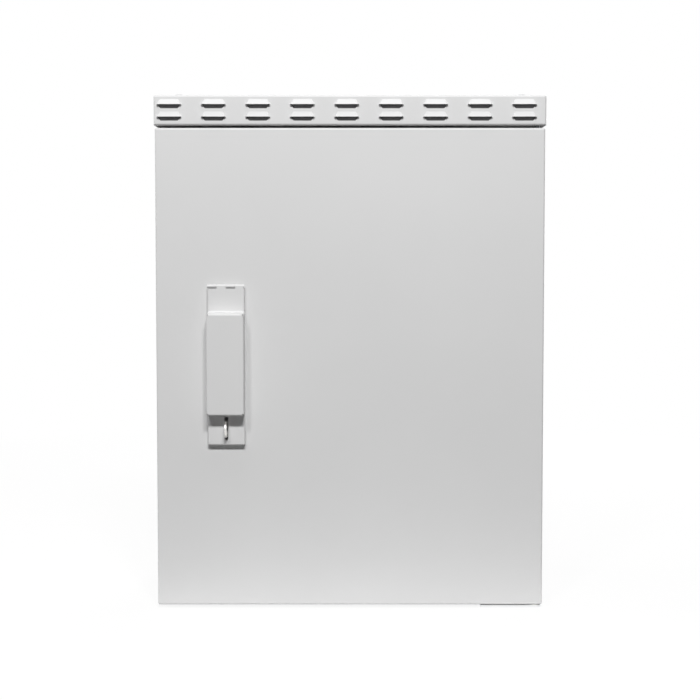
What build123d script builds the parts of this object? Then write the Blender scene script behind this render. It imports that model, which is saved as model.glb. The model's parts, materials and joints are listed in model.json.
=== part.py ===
from build123d import *
import math
import os

# Roadside utility cabinet, in millimetres.
# The origin is at the centre of the body's footprint on the ground.
# X points right, Y points back and Z points up; the door faces -Y.

# Sheet metal
SHEET = 1.5
BEND = 3.0
PLATE = 3.0

# Clearances
RUNNING_GAP = 0.3
SHAFT_CLEARANCE = 0.05
BOLT_CLEARANCE = 0.25
THRUST_GAP = 0.1

# Body
BODY_WIDTH = 600.0
BODY_DEPTH = 300.0
BODY_HEIGHT = 775.0
OPENING_SIDE = 33.5
OPENING_BOTTOM = 60.0
OPENING_HEADER = 50.0
OPENING_RADIUS = 8.0

# Base with its raised tray
TRAY_MARGIN = 65.0
TRAY_TOP = 36.0
TRAY_RADIUS = 6.0
ANCHOR_INSET = 30.0
ANCHOR_HOLE_RADIUS = 6.0

# Holes for fixing the back to a wall or a pole frame
WALL_HOLE_INSET = 44.0
WALL_HOLE_LOW_Z = 110.0
WALL_HOLE_DROP = 85.0
WALL_HOLE_RADIUS = 5.5

# Air slots in the top of the body, under the hood
VENT_LENGTH = 44.0
VENT_WIDTH = 6.0
VENT_MARGIN_X = 60.0
VENT_MARGIN_Y = 45.0
VENT_COLUMNS = 6
VENT_ROWS = 3

# Roof hood
HOOD_HEIGHT = 46.5
HOOD_SIDE_GAP = 1.5
HOOD_BACK_GAP = 1.5
ROOF_AIR = 25.0
ROOF_FALL = 12.0
HOOD_RETURN = 12.0

# Louvres in the front of the hood
LOUVRE_COLUMNS = 9
LOUVRE_ROWS = 2
LOUVRE_MARGIN = 26.0
LOUVRE_SHIFT = -5.0
LOUVRE_PITCH_Z = 19.0
LOUVRE_FIRST_LIP = 14.6
LOUVRE_LIP_WIDTH = 38.0
LOUVRE_TOP_WIDTH = 28.0
LOUVRE_HEIGHT = 8.0
LOUVRE_DEPTH = 6.0
LOUVRE_RADIUS = 4.0
LOUVRE_WALL = 1.2
LOUVRE_TOP_DEPTH = 0.3
MOUTH_HEIGHT = 6.0
MOUTH_FOOT_WIDTH = 27.0
MOUTH_RADIUS = 2.5
SCREEN_THICK = 0.8
SCREEN_EDGE = 2.5

# Roof bolts
ROOF_BOLT_INSET_X = 30.0
ROOF_BOLT_INSET_Y = 32.0
ROOF_BOLT_RADIUS = 4.0
ROOF_WASHER_RADIUS = 12.0
ROOF_WASHER_THICK = 2.0
ROOF_SEAL_THICK = 1.5
ROOF_SPACER_RADIUS = 9.0
M8_ACROSS_FLATS = 13.0
M8_HEAD = 5.3
M8_NUT = 6.5

# Door
DOOR_OVERLAP = 1.5
DOOR_DEPTH = 25.0
DOOR_GAP = 5.0
DOOR_TOP_GAP = 4.0
DOOR_GROUND_GAP = 5.0
DOOR_RETURN = 12.0

# Door gasket
GASKET_WIDTH = 12.0
GASKET_THICK = 10.0
SEAL_GAP = 0.3

# Door stiffeners
STIFFENER_INSET = 59.5
STIFFENER_CROWN = 20.0
STIFFENER_FLANGE = 8.0
STIFFENER_DEPTH = 15.0
STIFFENER_END = 12.0

# Door hinges
HINGE_INSET_X = 12.0
HINGE_INSET_Y = 10.0
HINGE_PIN_RADIUS = 4.0
HINGE_PIN_REACH = 20.0
HINGE_BLOCK_WIDTH = 22.5
HINGE_BLOCK_HEIGHT = 23.5
HINGE_BORE_SPARE = 2.0
HINGE_DOOR_HOLE_RADIUS = 4.5
BRACKET_WIDTH = 95.0
BRACKET_LEG_WIDTH = 62.0
BRACKET_FRONT = 8.0
LOWER_BRACKET_HEIGHT = 33.0
LOWER_BRACKET_GAP = 1.0
UPPER_BRACKET_HEIGHT = 18.0
HOOD_BRACKET_GAP = 0.5
HOOD_PIN_GAP = 0.5
BRACKET_SCREW_INSET = 15.0
BRACKET_SCREW_SPACING = 32.0
LOWER_SCREW_DROP = 13.0
UPPER_SCREW_DROP = 7.0
M6_RADIUS = 3.0
M6_HEAD_RADIUS = 5.6
M6_HEAD = 2.6
M6_ACROSS_FLATS = 10.0
M6_NUT = 5.0
M6_LENGTH = 13.0
THRUST_WASHER_RADIUS = 8.0

# Lock cover
COVER_INSET = 108.0
COVER_WIDTH = 57.5
COVER_RISE = 102.0
COVER_DROP = 141.5
COVER_STAND = 11.0
COVER_WALL_GAP = 0.5
BOX_DEPTH = 24.0
BOX_DROP = 93.0
BOX_RISE = 63.2
BOX_TOP_FALL = 1.8
COVER_BEND = 2.5
COVER_RELIEF_RADIUS = 1.3
COVER_RELIEF_INSET = 1.5
KNUCKLE_RADIUS = 3.0
COVER_PIN_RADIUS = 1.5
KNUCKLE_COUNT = 4
KNUCKLE_RISE = 3.5
COVER_LEAF_INSET = 0.4
COVER_LEAF_HEIGHT = 32.0
COVER_LEAF_NECK = 5.0
COVER_LEAF_JOG = 5.0

# Padlock staple and its slot in the cover
STAPLE_RADIUS = 2.1
STAPLE_LIFT = 25.8
STAPLE_SPACING = 22.0
STAPLE_REACH = 32.0
SLOT_WIDTH = 6.0
SLOT_HEIGHT = 36.0

# Lock plate on the door and the wing knob
LOCK_Z = 400.0
LOCK_PLATE_WIDTH = 40.0
LOCK_PLATE_RISE = 50.0
LOCK_PLATE_DROP = 82.0
LOCK_PLATE_THICK = 6.0
LOCK_PLATE_RADIUS = 8.0
LOCK_PLATE_EDGE = 1.5
SPINDLE_RADIUS = 5.0
SQUARE = 7.0
KNOB_HUB_RADIUS = 12.0
KNOB_FRONT = 27.5
KNOB_WING = 48.0
KNOB_WING_THICK = 11.0
KNOB_WING_BACK = 12.0
KNOB_WEB = 4.0
M4_RADIUS = 2.0
M4_HEAD_RADIUS = 3.8
M4_HEAD = 2.4
M4_LENGTH = 14.0

# Profile cylinder
CYLINDER_OFFSET = 58.0
CYLINDER_RADIUS = 8.5
CYLINDER_WEB = 10.0
CYLINDER_DROP = 24.5
CYLINDER_FRONT = 9.0
CYLINDER_LENGTH = 40.0
PLUG_RADIUS = 6.0
KEYWAY_WIDTH = 1.6
KEYWAY_HEIGHT = 8.0
KEYWAY_DEPTH = 20.0
CAM_REACH = 13.0
CAM_WIDTH = 8.0
CAM_THICK = 2.5
CAM_GAP = 0.3

# Rack and pinion rod latch
TEETH = 12
MODULE = 2.0
PRESSURE_ANGLE = 20.0
PINION_TIP = 14.0
PINION_ROOT = 10.2
FLANK_STEPS = 4
RACK_ADDENDUM = 1.3
RACK_DEDENDUM = 2.5
RACK_BACK = 10.0
RACK_TEETH = 7
RACK_LEAD_TEETH = 2
BACKLASH = 0.3
GEAR_SET_BACK = 38.0
GEAR_THICK = 8.0
GEAR_SIDE_GAP = 1.0
CASE_PLATE = 3.0
CASE_COVER = 2.0
CASE_WALL = 2.0
CASE_HALF_HEIGHT = 45.0
CASE_SCREW_SPACING = 48.0
CASE_SLEEVE_RADIUS = 4.5
M5_RADIUS = 2.5
M5_HEAD_RADIUS = 4.5
M5_HEAD = 3.0
M5_PLATE_GRIP = 4.5
M5_ACROSS_FLATS = 8.0
M5_NUT = 4.0
ROD_RADIUS = 4.0
ROD_END_GAP = 0.5
GUIDE_PLATE = 2.0
GUIDE_WIDTH = 22.0
GUIDE_FOOT = 24.0
GUIDE_INSET = 26.0
BUSH_RADIUS = 6.0
BUSH_FLANGE_RADIUS = 8.0
BUSH_FLANGE = 1.5
KEEPER_WIDTH = 30.0
KEEPER_DEPTH = 16.0
KEEPER_THICK = 6.0
KEEPER_SET = 4.0
KEEPER_HOLE_RADIUS = 5.0

# Mounting plate
MOUNT_PLATE_SIDE = 60.0
MOUNT_PLATE_BOTTOM = 72.0
MOUNT_PLATE_HEADROOM = 63.0
MOUNT_PLATE_THICK = 2.0
MOUNT_PLATE_SET = 37.0
MOUNT_PLATE_RADIUS = 8.0
PLATE_STUD_INSET = 15.0
STUD_RADIUS = 4.0
STUD_FRONT = 9.0

# Gland plate, glands and blanking plugs
GLAND_PLATE_EDGE = 10.0
GLAND_PLATE_THICK = 2.0
GLAND_GASKET_THICK = 2.0
TRAY_LEDGE = 30.0
GLAND_SCREW_INSET = 10.0
PLUG_INSET = 40.0
GLAND_GATHER = 25.0
GLAND_THREAD_RADIUS = 16.0
GLAND_BORE_RADIUS = 12.5
GLAND_SEAL_BORE = 10.0
GLAND_ACROSS_FLATS = 38.0
GLAND_FLANGE = 6.0
GLAND_THREAD_ABOVE = 10.0
LOCKNUT_THICK = 6.0
LOCKNUT_ACROSS_FLATS = 42.0
DOME_RADIUS = 19.0
DOME_NOSE_RADIUS = 14.0
DOME_MOUTH_RADIUS = 10.8
DOME_BOTTOM = 9.0
DOME_LIP = 2.0
DOME_NOSE = 4.0
SEAL_TOP = 28.0
BODY_TUBE_BOTTOM = 19.0

# Earth stud
EARTH_SET_BACK = 90.0
EARTH_Z = 92.0
EARTH_LENGTH = 22.0

# Places that follow from the sizes above
HALF_WIDTH = BODY_WIDTH / 2
HALF_DEPTH = BODY_DEPTH / 2
OPENING_WIDTH = BODY_WIDTH - 2 * OPENING_SIDE
OPENING_TOP = BODY_HEIGHT - OPENING_HEADER
OPENING_HEIGHT = OPENING_TOP - OPENING_BOTTOM
OPENING_MIDDLE = (OPENING_TOP + OPENING_BOTTOM) / 2
TRAY_WIDTH = BODY_WIDTH - 2 * TRAY_MARGIN
TRAY_DEPTH = BODY_DEPTH - 2 * TRAY_MARGIN
ANCHOR_SPACING_X = BODY_WIDTH - 2 * ANCHOR_INSET
ANCHOR_SPACING_Y = BODY_DEPTH - 2 * ANCHOR_INSET
WALL_SPACING_X = BODY_WIDTH - 2 * WALL_HOLE_INSET
WALL_SPACING_Z = BODY_HEIGHT - WALL_HOLE_LOW_Z - WALL_HOLE_DROP
VENT_PITCH_X = (BODY_WIDTH - 2 * VENT_MARGIN_X) / VENT_COLUMNS
VENT_PITCH_Y = (BODY_DEPTH - 2 * VENT_MARGIN_Y) / VENT_ROWS
DOOR_BACK_Y = -HALF_DEPTH - DOOR_GAP
DOOR_FRONT_Y = DOOR_BACK_Y - DOOR_DEPTH
DOOR_INNER_Y = DOOR_FRONT_Y + SHEET
ROOF_TOP = BODY_HEIGHT + ROOF_AIR
HOOD_BOTTOM = ROOF_TOP - HOOD_HEIGHT
HOOD_HALF_WIDTH = HALF_WIDTH + HOOD_SIDE_GAP + SHEET
HOOD_BACK_Y = HALF_DEPTH + HOOD_BACK_GAP + SHEET
LOUVRE_PITCH_X = (BODY_WIDTH - 2 * LOUVRE_MARGIN) / (LOUVRE_COLUMNS - 1)
ROOF_BOLT_X = HALF_WIDTH - ROOF_BOLT_INSET_X
ROOF_BOLT_BACK_Y = HALF_DEPTH - ROOF_BOLT_INSET_Y
ROOF_BOLT_FRONT_Y = -ROOF_BOLT_BACK_Y
DOOR_BOTTOM = DOOR_GROUND_GAP
DOOR_TOP = HOOD_BOTTOM - DOOR_TOP_GAP
DOOR_HALF_WIDTH = HALF_WIDTH + DOOR_OVERLAP
STIFFENER_X = DOOR_HALF_WIDTH - STIFFENER_INSET
STIFFENER_BOTTOM = OPENING_BOTTOM + STIFFENER_END
STIFFENER_TOP = OPENING_TOP - STIFFENER_END
GASKET_BACK_Y = DOOR_INNER_Y + GASKET_THICK
LIP_TIP_Y = GASKET_BACK_Y + SEAL_GAP
HINGE_X = DOOR_HALF_WIDTH - HINGE_INSET_X
HINGE_Y = DOOR_FRONT_Y + HINGE_INSET_Y
UPPER_BRACKET_FLAT_Z = HOOD_BOTTOM + SHEET + HOOD_BRACKET_GAP
UPPER_BRACKET_TOP = UPPER_BRACKET_FLAT_Z + PLATE
FRAME_SEAM_Y = -HALF_DEPTH + BEND
BRACKET_OUTER_X = HALF_WIDTH
BRACKET_INNER_X = BRACKET_OUTER_X - BRACKET_WIDTH
COVER_X = COVER_INSET - HALF_WIDTH
COVER_TOP = LOCK_Z + COVER_RISE
COVER_BOTTOM = LOCK_Z - COVER_DROP
BOX_TOP = LOCK_Z + BOX_RISE
BOX_BOTTOM = LOCK_Z - BOX_DROP
COVER_LEAF_FOOT = COVER_TOP - COVER_LEAF_HEIGHT
COVER_LEAF_JOG_TOP = COVER_TOP - COVER_LEAF_NECK
COVER_LEAF_JOG_FOOT = COVER_LEAF_JOG_TOP - COVER_LEAF_JOG
STAPLE_CENTRE_Z = COVER_BOTTOM + STAPLE_LIFT
LOCK_PLATE_TOP = LOCK_Z + LOCK_PLATE_RISE
LOCK_PLATE_BOTTOM = LOCK_Z - LOCK_PLATE_DROP
CYLINDER_Z = LOCK_Z - CYLINDER_OFFSET
COVER_HALF_WIDTH = COVER_WIDTH / 2
COVER_PLATE_Y = DOOR_FRONT_Y - COVER_STAND
COVER_HINGE_Y = COVER_PLATE_Y + KNUCKLE_RADIUS
COVER_HINGE_Z = COVER_TOP + KNUCKLE_RISE
GEAR_Y = DOOR_FRONT_Y + GEAR_SET_BACK
GEAR_FRONT_Y = GEAR_Y - GEAR_THICK / 2
GEAR_BACK_Y = GEAR_Y + GEAR_THICK / 2
CASE_FRONT_Y = GEAR_FRONT_Y - GEAR_SIDE_GAP - CASE_PLATE
CASE_INNER_Y = CASE_FRONT_Y + CASE_PLATE
CASE_REAR_Y = GEAR_BACK_Y + GEAR_SIDE_GAP
CASE_OUTER_Y = CASE_REAR_Y + CASE_COVER
PITCH_RADIUS = MODULE * TEETH / 2
TOOTH_PITCH = math.pi * MODULE
RACK_BACK_OFFSET = PITCH_RADIUS + RACK_BACK
ROD_OFFSET = PITCH_RADIUS + (RACK_DEDENDUM + RACK_BACK) / 2 - 0.25
UPPER_ROD_END = OPENING_TOP - ROD_END_GAP
LOWER_ROD_END = OPENING_BOTTOM + ROD_END_GAP
MOUNT_PLATE_WIDTH = BODY_WIDTH - 2 * MOUNT_PLATE_SIDE
MOUNT_PLATE_HEIGHT = BODY_HEIGHT - MOUNT_PLATE_BOTTOM - MOUNT_PLATE_HEADROOM
MOUNT_PLATE_Y = HALF_DEPTH - MOUNT_PLATE_SET
GLAND_PLATE_WIDTH = TRAY_WIDTH - 2 * GLAND_PLATE_EDGE
GLAND_PLATE_DEPTH = TRAY_DEPTH - 2 * GLAND_PLATE_EDGE
TRAY_OPENING_WIDTH = TRAY_WIDTH - 2 * TRAY_LEDGE
TRAY_OPENING_DEPTH = TRAY_DEPTH - 2 * TRAY_LEDGE
PLUG_X = TRAY_OPENING_WIDTH / 2 - PLUG_INSET
GLAND_X = (PLUG_X - GLAND_GATHER) / 2
EARTH_Y = EARTH_SET_BACK - HALF_DEPTH
GLAND_PLATE_BOTTOM = TRAY_TOP + GLAND_GASKET_THICK
GLAND_PLATE_TOP = GLAND_PLATE_BOTTOM + GLAND_PLATE_THICK


# Shapes used by several pieces

def block(x0, x1, y0, y1, z0, z1):
    middle = Pos((x0 + x1) / 2, (y0 + y1) / 2, (z0 + z1) / 2)
    return middle * Box(x1 - x0, y1 - y0, z1 - z0)


def round_x(y, z, radius, x0, x1):
    return Pos((x0 + x1) / 2, y, z) * Rot(0, 90, 0) * Cylinder(radius, x1 - x0)


def round_y(x, z, radius, y0, y1):
    return Pos(x, (y0 + y1) / 2, z) * Rot(90, 0, 0) * Cylinder(radius, y1 - y0)


def round_z(x, y, radius, z0, z1):
    return Pos(x, y, (z0 + z1) / 2) * Cylinder(radius, z1 - z0)


def prism_x(face, x0, x1):
    return extrude(Plane.YZ.offset(x0) * face, x1 - x0, dir=(1, 0, 0))


def prism_y(face, y0, y1):
    return extrude(Plane.XZ.offset(-y1) * face, y1 - y0, dir=(0, -1, 0))


def prism_z(face, z0, z1):
    return extrude(Plane.XY.offset(z0) * face, z1 - z0, dir=(0, 0, 1))


def polygon(*points):
    return Polygon(*points, align=None)


def hexagon(across_flats):
    return RegularPolygon(across_flats / 2, 6, major_radius=False)


def hexagon_z(x, y, across_flats, z0, z1):
    return prism_z(Pos(x, y) * hexagon(across_flats), z0, z1)


def hexagon_y(x, z, across_flats, y0, y1):
    return prism_y(Pos(x, z) * hexagon(across_flats), y0, y1)


def rounded_block(x0, x1, y0, y1, z0, z1, radius):
    solid = block(x0, x1, y0, y1, z0, z1)
    return fillet(solid.edges(), radius)


def window(margin):
    """The door opening of the body, grown by a margin on every side."""
    width = OPENING_WIDTH + 2 * margin
    height = OPENING_HEIGHT + 2 * margin
    return Pos(0, OPENING_MIDDLE) * RectangleRounded(width, height, OPENING_RADIUS + margin)


def hex_screw(x, y, radius, across_flats, head, under_head, tip):
    """A hexagon screw that points down."""
    top = hexagon_z(x, y, across_flats, under_head, under_head + head)
    return top + round_z(x, y, radius, tip, under_head)


def hex_nut(x, y, radius, across_flats, z0, z1):
    return hexagon_z(x, y, across_flats, z0, z1) - round_z(x, y, radius, z0, z1)


def tube_y(x, z, outer, inner, y0, y1):
    return round_y(x, z, outer, y0, y1) - round_y(x, z, inner, y0, y1)


def tube_z(x, y, outer, inner, z0, z1):
    return round_z(x, y, outer, z0, z1) - round_z(x, y, inner, z0, z1)


def corners(spacing_x, spacing_y):
    return [(sx * spacing_x / 2, sy * spacing_y / 2) for sx in (-1, 1) for sy in (-1, 1)]


# Positions shared by pieces that meet

def roof_bolt_places():
    return [(sx * ROOF_BOLT_X, y) for sx in (-1, 1) for y in (ROOF_BOLT_FRONT_Y, ROOF_BOLT_BACK_Y)]


def bracket_screw_places(screw_z):
    first = BRACKET_INNER_X + BRACKET_SCREW_INSET
    return [(first, screw_z), (first + BRACKET_SCREW_SPACING, screw_z)]


def lower_screw_z():
    return LOWER_BRACKET_GAP + LOWER_BRACKET_HEIGHT - LOWER_SCREW_DROP


def upper_screw_z():
    return UPPER_BRACKET_FLAT_Z + UPPER_BRACKET_HEIGHT - UPPER_SCREW_DROP


def hinge_screw_places():
    return bracket_screw_places(lower_screw_z()) + bracket_screw_places(upper_screw_z())


def gland_screw_places():
    inset = 2 * GLAND_SCREW_INSET
    places = corners(GLAND_PLATE_WIDTH - inset, GLAND_PLATE_DEPTH - inset)
    half = GLAND_PLATE_DEPTH / 2 - GLAND_SCREW_INSET
    return places + [(0, -half), (0, half)]


def plate_stud_places():
    inset = 2 * PLATE_STUD_INSET
    middle = MOUNT_PLATE_BOTTOM + MOUNT_PLATE_HEIGHT / 2
    spread = corners(MOUNT_PLATE_WIDTH - inset, MOUNT_PLATE_HEIGHT - inset)
    return [(x, middle + z) for x, z in spread]


def wall_hole_places():
    middle = WALL_HOLE_LOW_Z + WALL_SPACING_Z / 2
    return [(x, middle + z) for x, z in corners(WALL_SPACING_X, WALL_SPACING_Z)]


def case_screw_places():
    return [(COVER_X, LOCK_Z + side * CASE_SCREW_SPACING / 2) for side in (-1, 1)]


# Body

def vent_slots():
    slots = []
    for column in range(VENT_COLUMNS):
        for row in range(VENT_ROWS):
            x = (column - (VENT_COLUMNS - 1) / 2) * VENT_PITCH_X
            y = (row - (VENT_ROWS - 1) / 2) * VENT_PITCH_Y
            slot = Pos(x, y) * SlotOverall(VENT_LENGTH, VENT_WIDTH)
            slots.append(prism_z(slot, BODY_HEIGHT - 2 * SHEET, BODY_HEIGHT + SHEET))
    return slots


def body_shell():
    """The folded shell of the body: sides, back, top and front, open below."""
    outer = block(-HALF_WIDTH, HALF_WIDTH, -HALF_DEPTH, HALF_DEPTH, 0, BODY_HEIGHT)
    outer = fillet(outer.edges() - outer.faces().sort_by(Axis.Z)[0].edges(), BEND)
    inner = block(
        -HALF_WIDTH + SHEET,
        HALF_WIDTH - SHEET,
        -HALF_DEPTH + SHEET,
        HALF_DEPTH - SHEET,
        0,
        BODY_HEIGHT - SHEET,
    )
    inner = fillet(inner.edges() - inner.faces().sort_by(Axis.Z)[0].edges(), BEND - SHEET)
    return outer - inner


def front_zone(y0, y1):
    return block(-HALF_WIDTH, HALF_WIDTH, y0, y1, 0, BODY_HEIGHT)


def enclosure_body():
    """Sides, back and top of the body, as far as the seam with the front frame."""
    body = body_shell() - front_zone(-HALF_DEPTH, FRAME_SEAM_Y)
    for slot in vent_slots():
        body -= slot
    for x, y in roof_bolt_places():
        body -= round_z(x, y, ROOF_BOLT_RADIUS + BOLT_CLEARANCE, BODY_HEIGHT - SHEET, BODY_HEIGHT)
    for x, z in wall_hole_places():
        body -= round_y(x, z, WALL_HOLE_RADIUS, HALF_DEPTH - SHEET, HALF_DEPTH)
    return body


def front_frame():
    """Front of the body, with the lip round the door opening that the gasket meets."""
    frame = body_shell() - front_zone(FRAME_SEAM_Y, HALF_DEPTH)
    frame -= prism_y(window(0), -HALF_DEPTH, FRAME_SEAM_Y)
    frame += prism_y(window(SHEET) - window(0), LIP_TIP_Y, -HALF_DEPTH + SHEET)
    for x, z in hinge_screw_places():
        frame -= round_y(x, z, M6_RADIUS + BOLT_CLEARANCE, -HALF_DEPTH, -HALF_DEPTH + SHEET)
    return frame


def base_plate():
    """Flat floor of the body, cut out for the cable tray."""
    outline = RectangleRounded(BODY_WIDTH - 2 * SHEET, BODY_DEPTH - 2 * SHEET, BEND - SHEET)
    cut_out = RectangleRounded(TRAY_WIDTH, TRAY_DEPTH, TRAY_RADIUS)
    plate = prism_z(outline - cut_out, 0, SHEET)
    for x, y in corners(ANCHOR_SPACING_X, ANCHOR_SPACING_Y):
        plate -= round_z(x, y, ANCHOR_HOLE_RADIUS, 0, SHEET)
    return plate


def cable_tray():
    """Tray that rises from the floor and carries the gland plate."""
    raised = RectangleRounded(TRAY_WIDTH, TRAY_DEPTH, TRAY_RADIUS)
    hollow = RectangleRounded(TRAY_WIDTH - 2 * SHEET, TRAY_DEPTH - 2 * SHEET, TRAY_RADIUS - SHEET)
    tray = prism_z(raised, 0, TRAY_TOP) - prism_z(hollow, 0, TRAY_TOP - SHEET)
    tray -= prism_z(Rectangle(TRAY_OPENING_WIDTH, TRAY_OPENING_DEPTH), TRAY_TOP - SHEET, TRAY_TOP)
    for x, y in gland_screw_places():
        tray -= round_z(x, y, M5_RADIUS + BOLT_CLEARANCE, TRAY_TOP - SHEET, TRAY_TOP)
    return tray


# Roof hood

def roof_profile(inset):
    front = DOOR_FRONT_Y + inset
    back = HOOD_BACK_Y - inset
    top = ROOF_TOP - inset
    bottom = HOOD_BOTTOM + inset
    return polygon((front, bottom), (front, top), (back, top - ROOF_FALL), (back, bottom))


def hood_block(inset, radius):
    """The hood's outside, or with an inset its hollow, rounded where the sheet bends."""
    half = HOOD_HALF_WIDTH - inset
    solid = prism_x(roof_profile(inset), -half, half)
    bottom = solid.faces().sort_by(Axis.Z)[0].edges()
    front_bottom = bottom.sort_by(Axis.Y)[0:1]
    return fillet(solid.edges() - bottom + front_bottom, radius)


def louvre_shell(inset, back_y):
    """A louvre bulge at X 0 with its lip at Z 0, or with an inset the hollow inside it."""
    slope = math.hypot(LOUVRE_DEPTH, LOUVRE_HEIGHT) / LOUVRE_HEIGHT
    height = LOUVRE_HEIGHT - inset
    share = height / LOUVRE_HEIGHT
    lip_depth = LOUVRE_DEPTH - inset * slope
    top_depth = LOUVRE_DEPTH * (1 - share) + LOUVRE_TOP_DEPTH - inset * slope
    lip_width = LOUVRE_LIP_WIDTH - 2 * inset
    top_width = LOUVRE_LIP_WIDTH - (LOUVRE_LIP_WIDTH - LOUVRE_TOP_WIDTH) * share - 2 * inset
    radius = LOUVRE_RADIUS - inset
    sections = []
    for width, depth, z in ((lip_width, lip_depth, 0), (top_width, top_depth, height)):
        front = DOOR_FRONT_Y - depth
        outline = polygon((-width / 2, back_y), (-width / 2, front), (width / 2, front), (width / 2, back_y))
        corner = min(radius, (back_y - front) / 2)
        outline = fillet(outline.vertices().sort_by(Axis.Y)[0:2], corner)
        sections.append(Plane.XY.offset(z) * outline)
    return loft(sections, ruled=True)


def louvre_mouth():
    """The pierced gap under a louvre's lip, wide above and narrow below."""
    outline = polygon(
        (-LOUVRE_LIP_WIDTH / 2 + LOUVRE_WALL, 0),
        (LOUVRE_LIP_WIDTH / 2 - LOUVRE_WALL, 0),
        (MOUTH_FOOT_WIDTH / 2, -MOUTH_HEIGHT),
        (-MOUTH_FOOT_WIDTH / 2, -MOUTH_HEIGHT),
    )
    outline = fillet(outline.vertices().sort_by(Axis.Y)[0:2], MOUTH_RADIUS)
    return prism_y(outline, DOOR_FRONT_Y - SHEET, DOOR_INNER_Y + SHEET)


def louvre_places():
    places = []
    for row in range(LOUVRE_ROWS):
        for column in range(LOUVRE_COLUMNS):
            x = (column - (LOUVRE_COLUMNS - 1) / 2) * LOUVRE_PITCH_X + LOUVRE_SHIFT
            z = ROOF_TOP - LOUVRE_FIRST_LIP - row * LOUVRE_PITCH_Z
            places.append(Pos(x, 0, z))
    return places


def roof_hood():
    hood = hood_block(0, BEND) - hood_block(SHEET, BEND - SHEET)
    return_back = DOOR_FRONT_Y + HOOD_RETURN
    half = HOOD_HALF_WIDTH - SHEET
    hood -= block(-half, half, return_back, HOOD_BACK_Y - SHEET, HOOD_BOTTOM, HOOD_BOTTOM + BEND)
    bulge = louvre_shell(0, DOOR_FRONT_Y + SHEET / 2)
    hollow = louvre_shell(LOUVRE_WALL, DOOR_INNER_Y + SHEET)
    mouth = louvre_mouth()
    hood = hood + [place * bulge for place in louvre_places()]
    hood = hood - [place * hollow for place in louvre_places()]
    hood = hood - [place * mouth for place in louvre_places()]
    for x, y in roof_bolt_places():
        hood -= round_z(x, y, ROOF_BOLT_RADIUS + BOLT_CLEARANCE, BODY_HEIGHT, ROOF_TOP)
    hood -= round_z(HINGE_X, HINGE_Y, HINGE_PIN_RADIUS + HOOD_PIN_GAP, HOOD_BOTTOM, HOOD_BOTTOM + SHEET)
    return hood


def louvre_screen():
    """A strip of fine mesh inside the hood's front that keeps insects out of the louvres."""
    half = HOOD_HALF_WIDTH - BEND - SCREEN_EDGE
    low = HOOD_BOTTOM + BEND + SCREEN_EDGE
    high = ROOF_TOP - BEND - SCREEN_EDGE
    return block(-half, half, DOOR_INNER_Y, DOOR_INNER_Y + SCREEN_THICK, low, high)


def roof_height(y):
    share = (y - DOOR_FRONT_Y) / (HOOD_BACK_Y - DOOR_FRONT_Y)
    return ROOF_TOP - ROOF_FALL * share


def washer_bottom(y):
    return roof_height(y - ROOF_WASHER_RADIUS) + ROOF_SEAL_THICK


def roof_spacers():
    """Tubes between the body's top and the sloping hood, cut to its slope."""
    hollow = hood_block(SHEET, BEND - SHEET)
    bore = ROOF_BOLT_RADIUS + BOLT_CLEARANCE
    tubes = [tube_z(x, y, ROOF_SPACER_RADIUS, bore, BODY_HEIGHT, ROOF_TOP) for x, y in roof_bolt_places()]
    return [tube & hollow for tube in tubes]


def roof_seals():
    """Rubber washers that take up the slope under the flat washers."""
    hood = hood_block(0, BEND)
    seals = []
    for x, y in roof_bolt_places():
        low = BODY_HEIGHT + ROOF_AIR / 2
        ring = tube_z(x, y, ROOF_WASHER_RADIUS, ROOF_BOLT_RADIUS, low, washer_bottom(y))
        seals.append(ring - hood)
    return seals


def roof_washers():
    washers = []
    for x, y in roof_bolt_places():
        z = washer_bottom(y)
        washers.append(tube_z(x, y, ROOF_WASHER_RADIUS, ROOF_BOLT_RADIUS, z, z + ROOF_WASHER_THICK))
    return washers


def roof_nut_bottom():
    return BODY_HEIGHT - SHEET - M8_NUT


def roof_bolts():
    bolts = []
    for x, y in roof_bolt_places():
        under_head = washer_bottom(y) + ROOF_WASHER_THICK
        tip = roof_nut_bottom() - SHEET
        bolts.append(hex_screw(x, y, ROOF_BOLT_RADIUS, M8_ACROSS_FLATS, M8_HEAD, under_head, tip))
    return bolts


def roof_nuts():
    low = roof_nut_bottom()
    high = BODY_HEIGHT - SHEET
    return [hex_nut(x, y, ROOF_BOLT_RADIUS, M8_ACROSS_FLATS, low, high) for x, y in roof_bolt_places()]


# Door hinges on the body

def hinge_bracket(flat_z0, flat_z1, leg_z0, leg_z1, screw_z, pin_z0, pin_z1):
    """A flat leg that reaches out to the pin, and an upright leg screwed to the body."""
    leg_back = -HALF_DEPTH
    leg_front = leg_back - PLATE
    flat = block(BRACKET_INNER_X, BRACKET_OUTER_X, HINGE_Y - BRACKET_FRONT, leg_back, flat_z0, flat_z1)
    flat = fillet(flat.edges().filter_by(Axis.Z).sort_by(Axis.Y)[0:2], BEND)
    upright = block(BRACKET_INNER_X, BRACKET_INNER_X + BRACKET_LEG_WIDTH, leg_front, leg_back, leg_z0, leg_z1)
    bracket = flat + upright
    for x, z in bracket_screw_places(screw_z):
        bracket -= countersunk_screw(x, z)
    return bracket - round_z(HINGE_X, HINGE_Y, HINGE_PIN_RADIUS, pin_z0, pin_z1)


def countersunk_screw(x, z):
    """A screw whose head lies flush in the upright leg of a hinge bracket."""
    face = -HALF_DEPTH - PLATE
    head = Pos(x, face + M6_HEAD / 2, z) * Rot(90, 0, 0) * Cone(M6_RADIUS, M6_HEAD_RADIUS, M6_HEAD)
    return head + round_y(x, z, M6_RADIUS, face + M6_HEAD, face + M6_LENGTH)


def lower_hinge_bracket():
    low = LOWER_BRACKET_GAP
    high = low + PLATE
    return hinge_bracket(low, high, low, low + LOWER_BRACKET_HEIGHT, lower_screw_z(), low, high)


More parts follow.
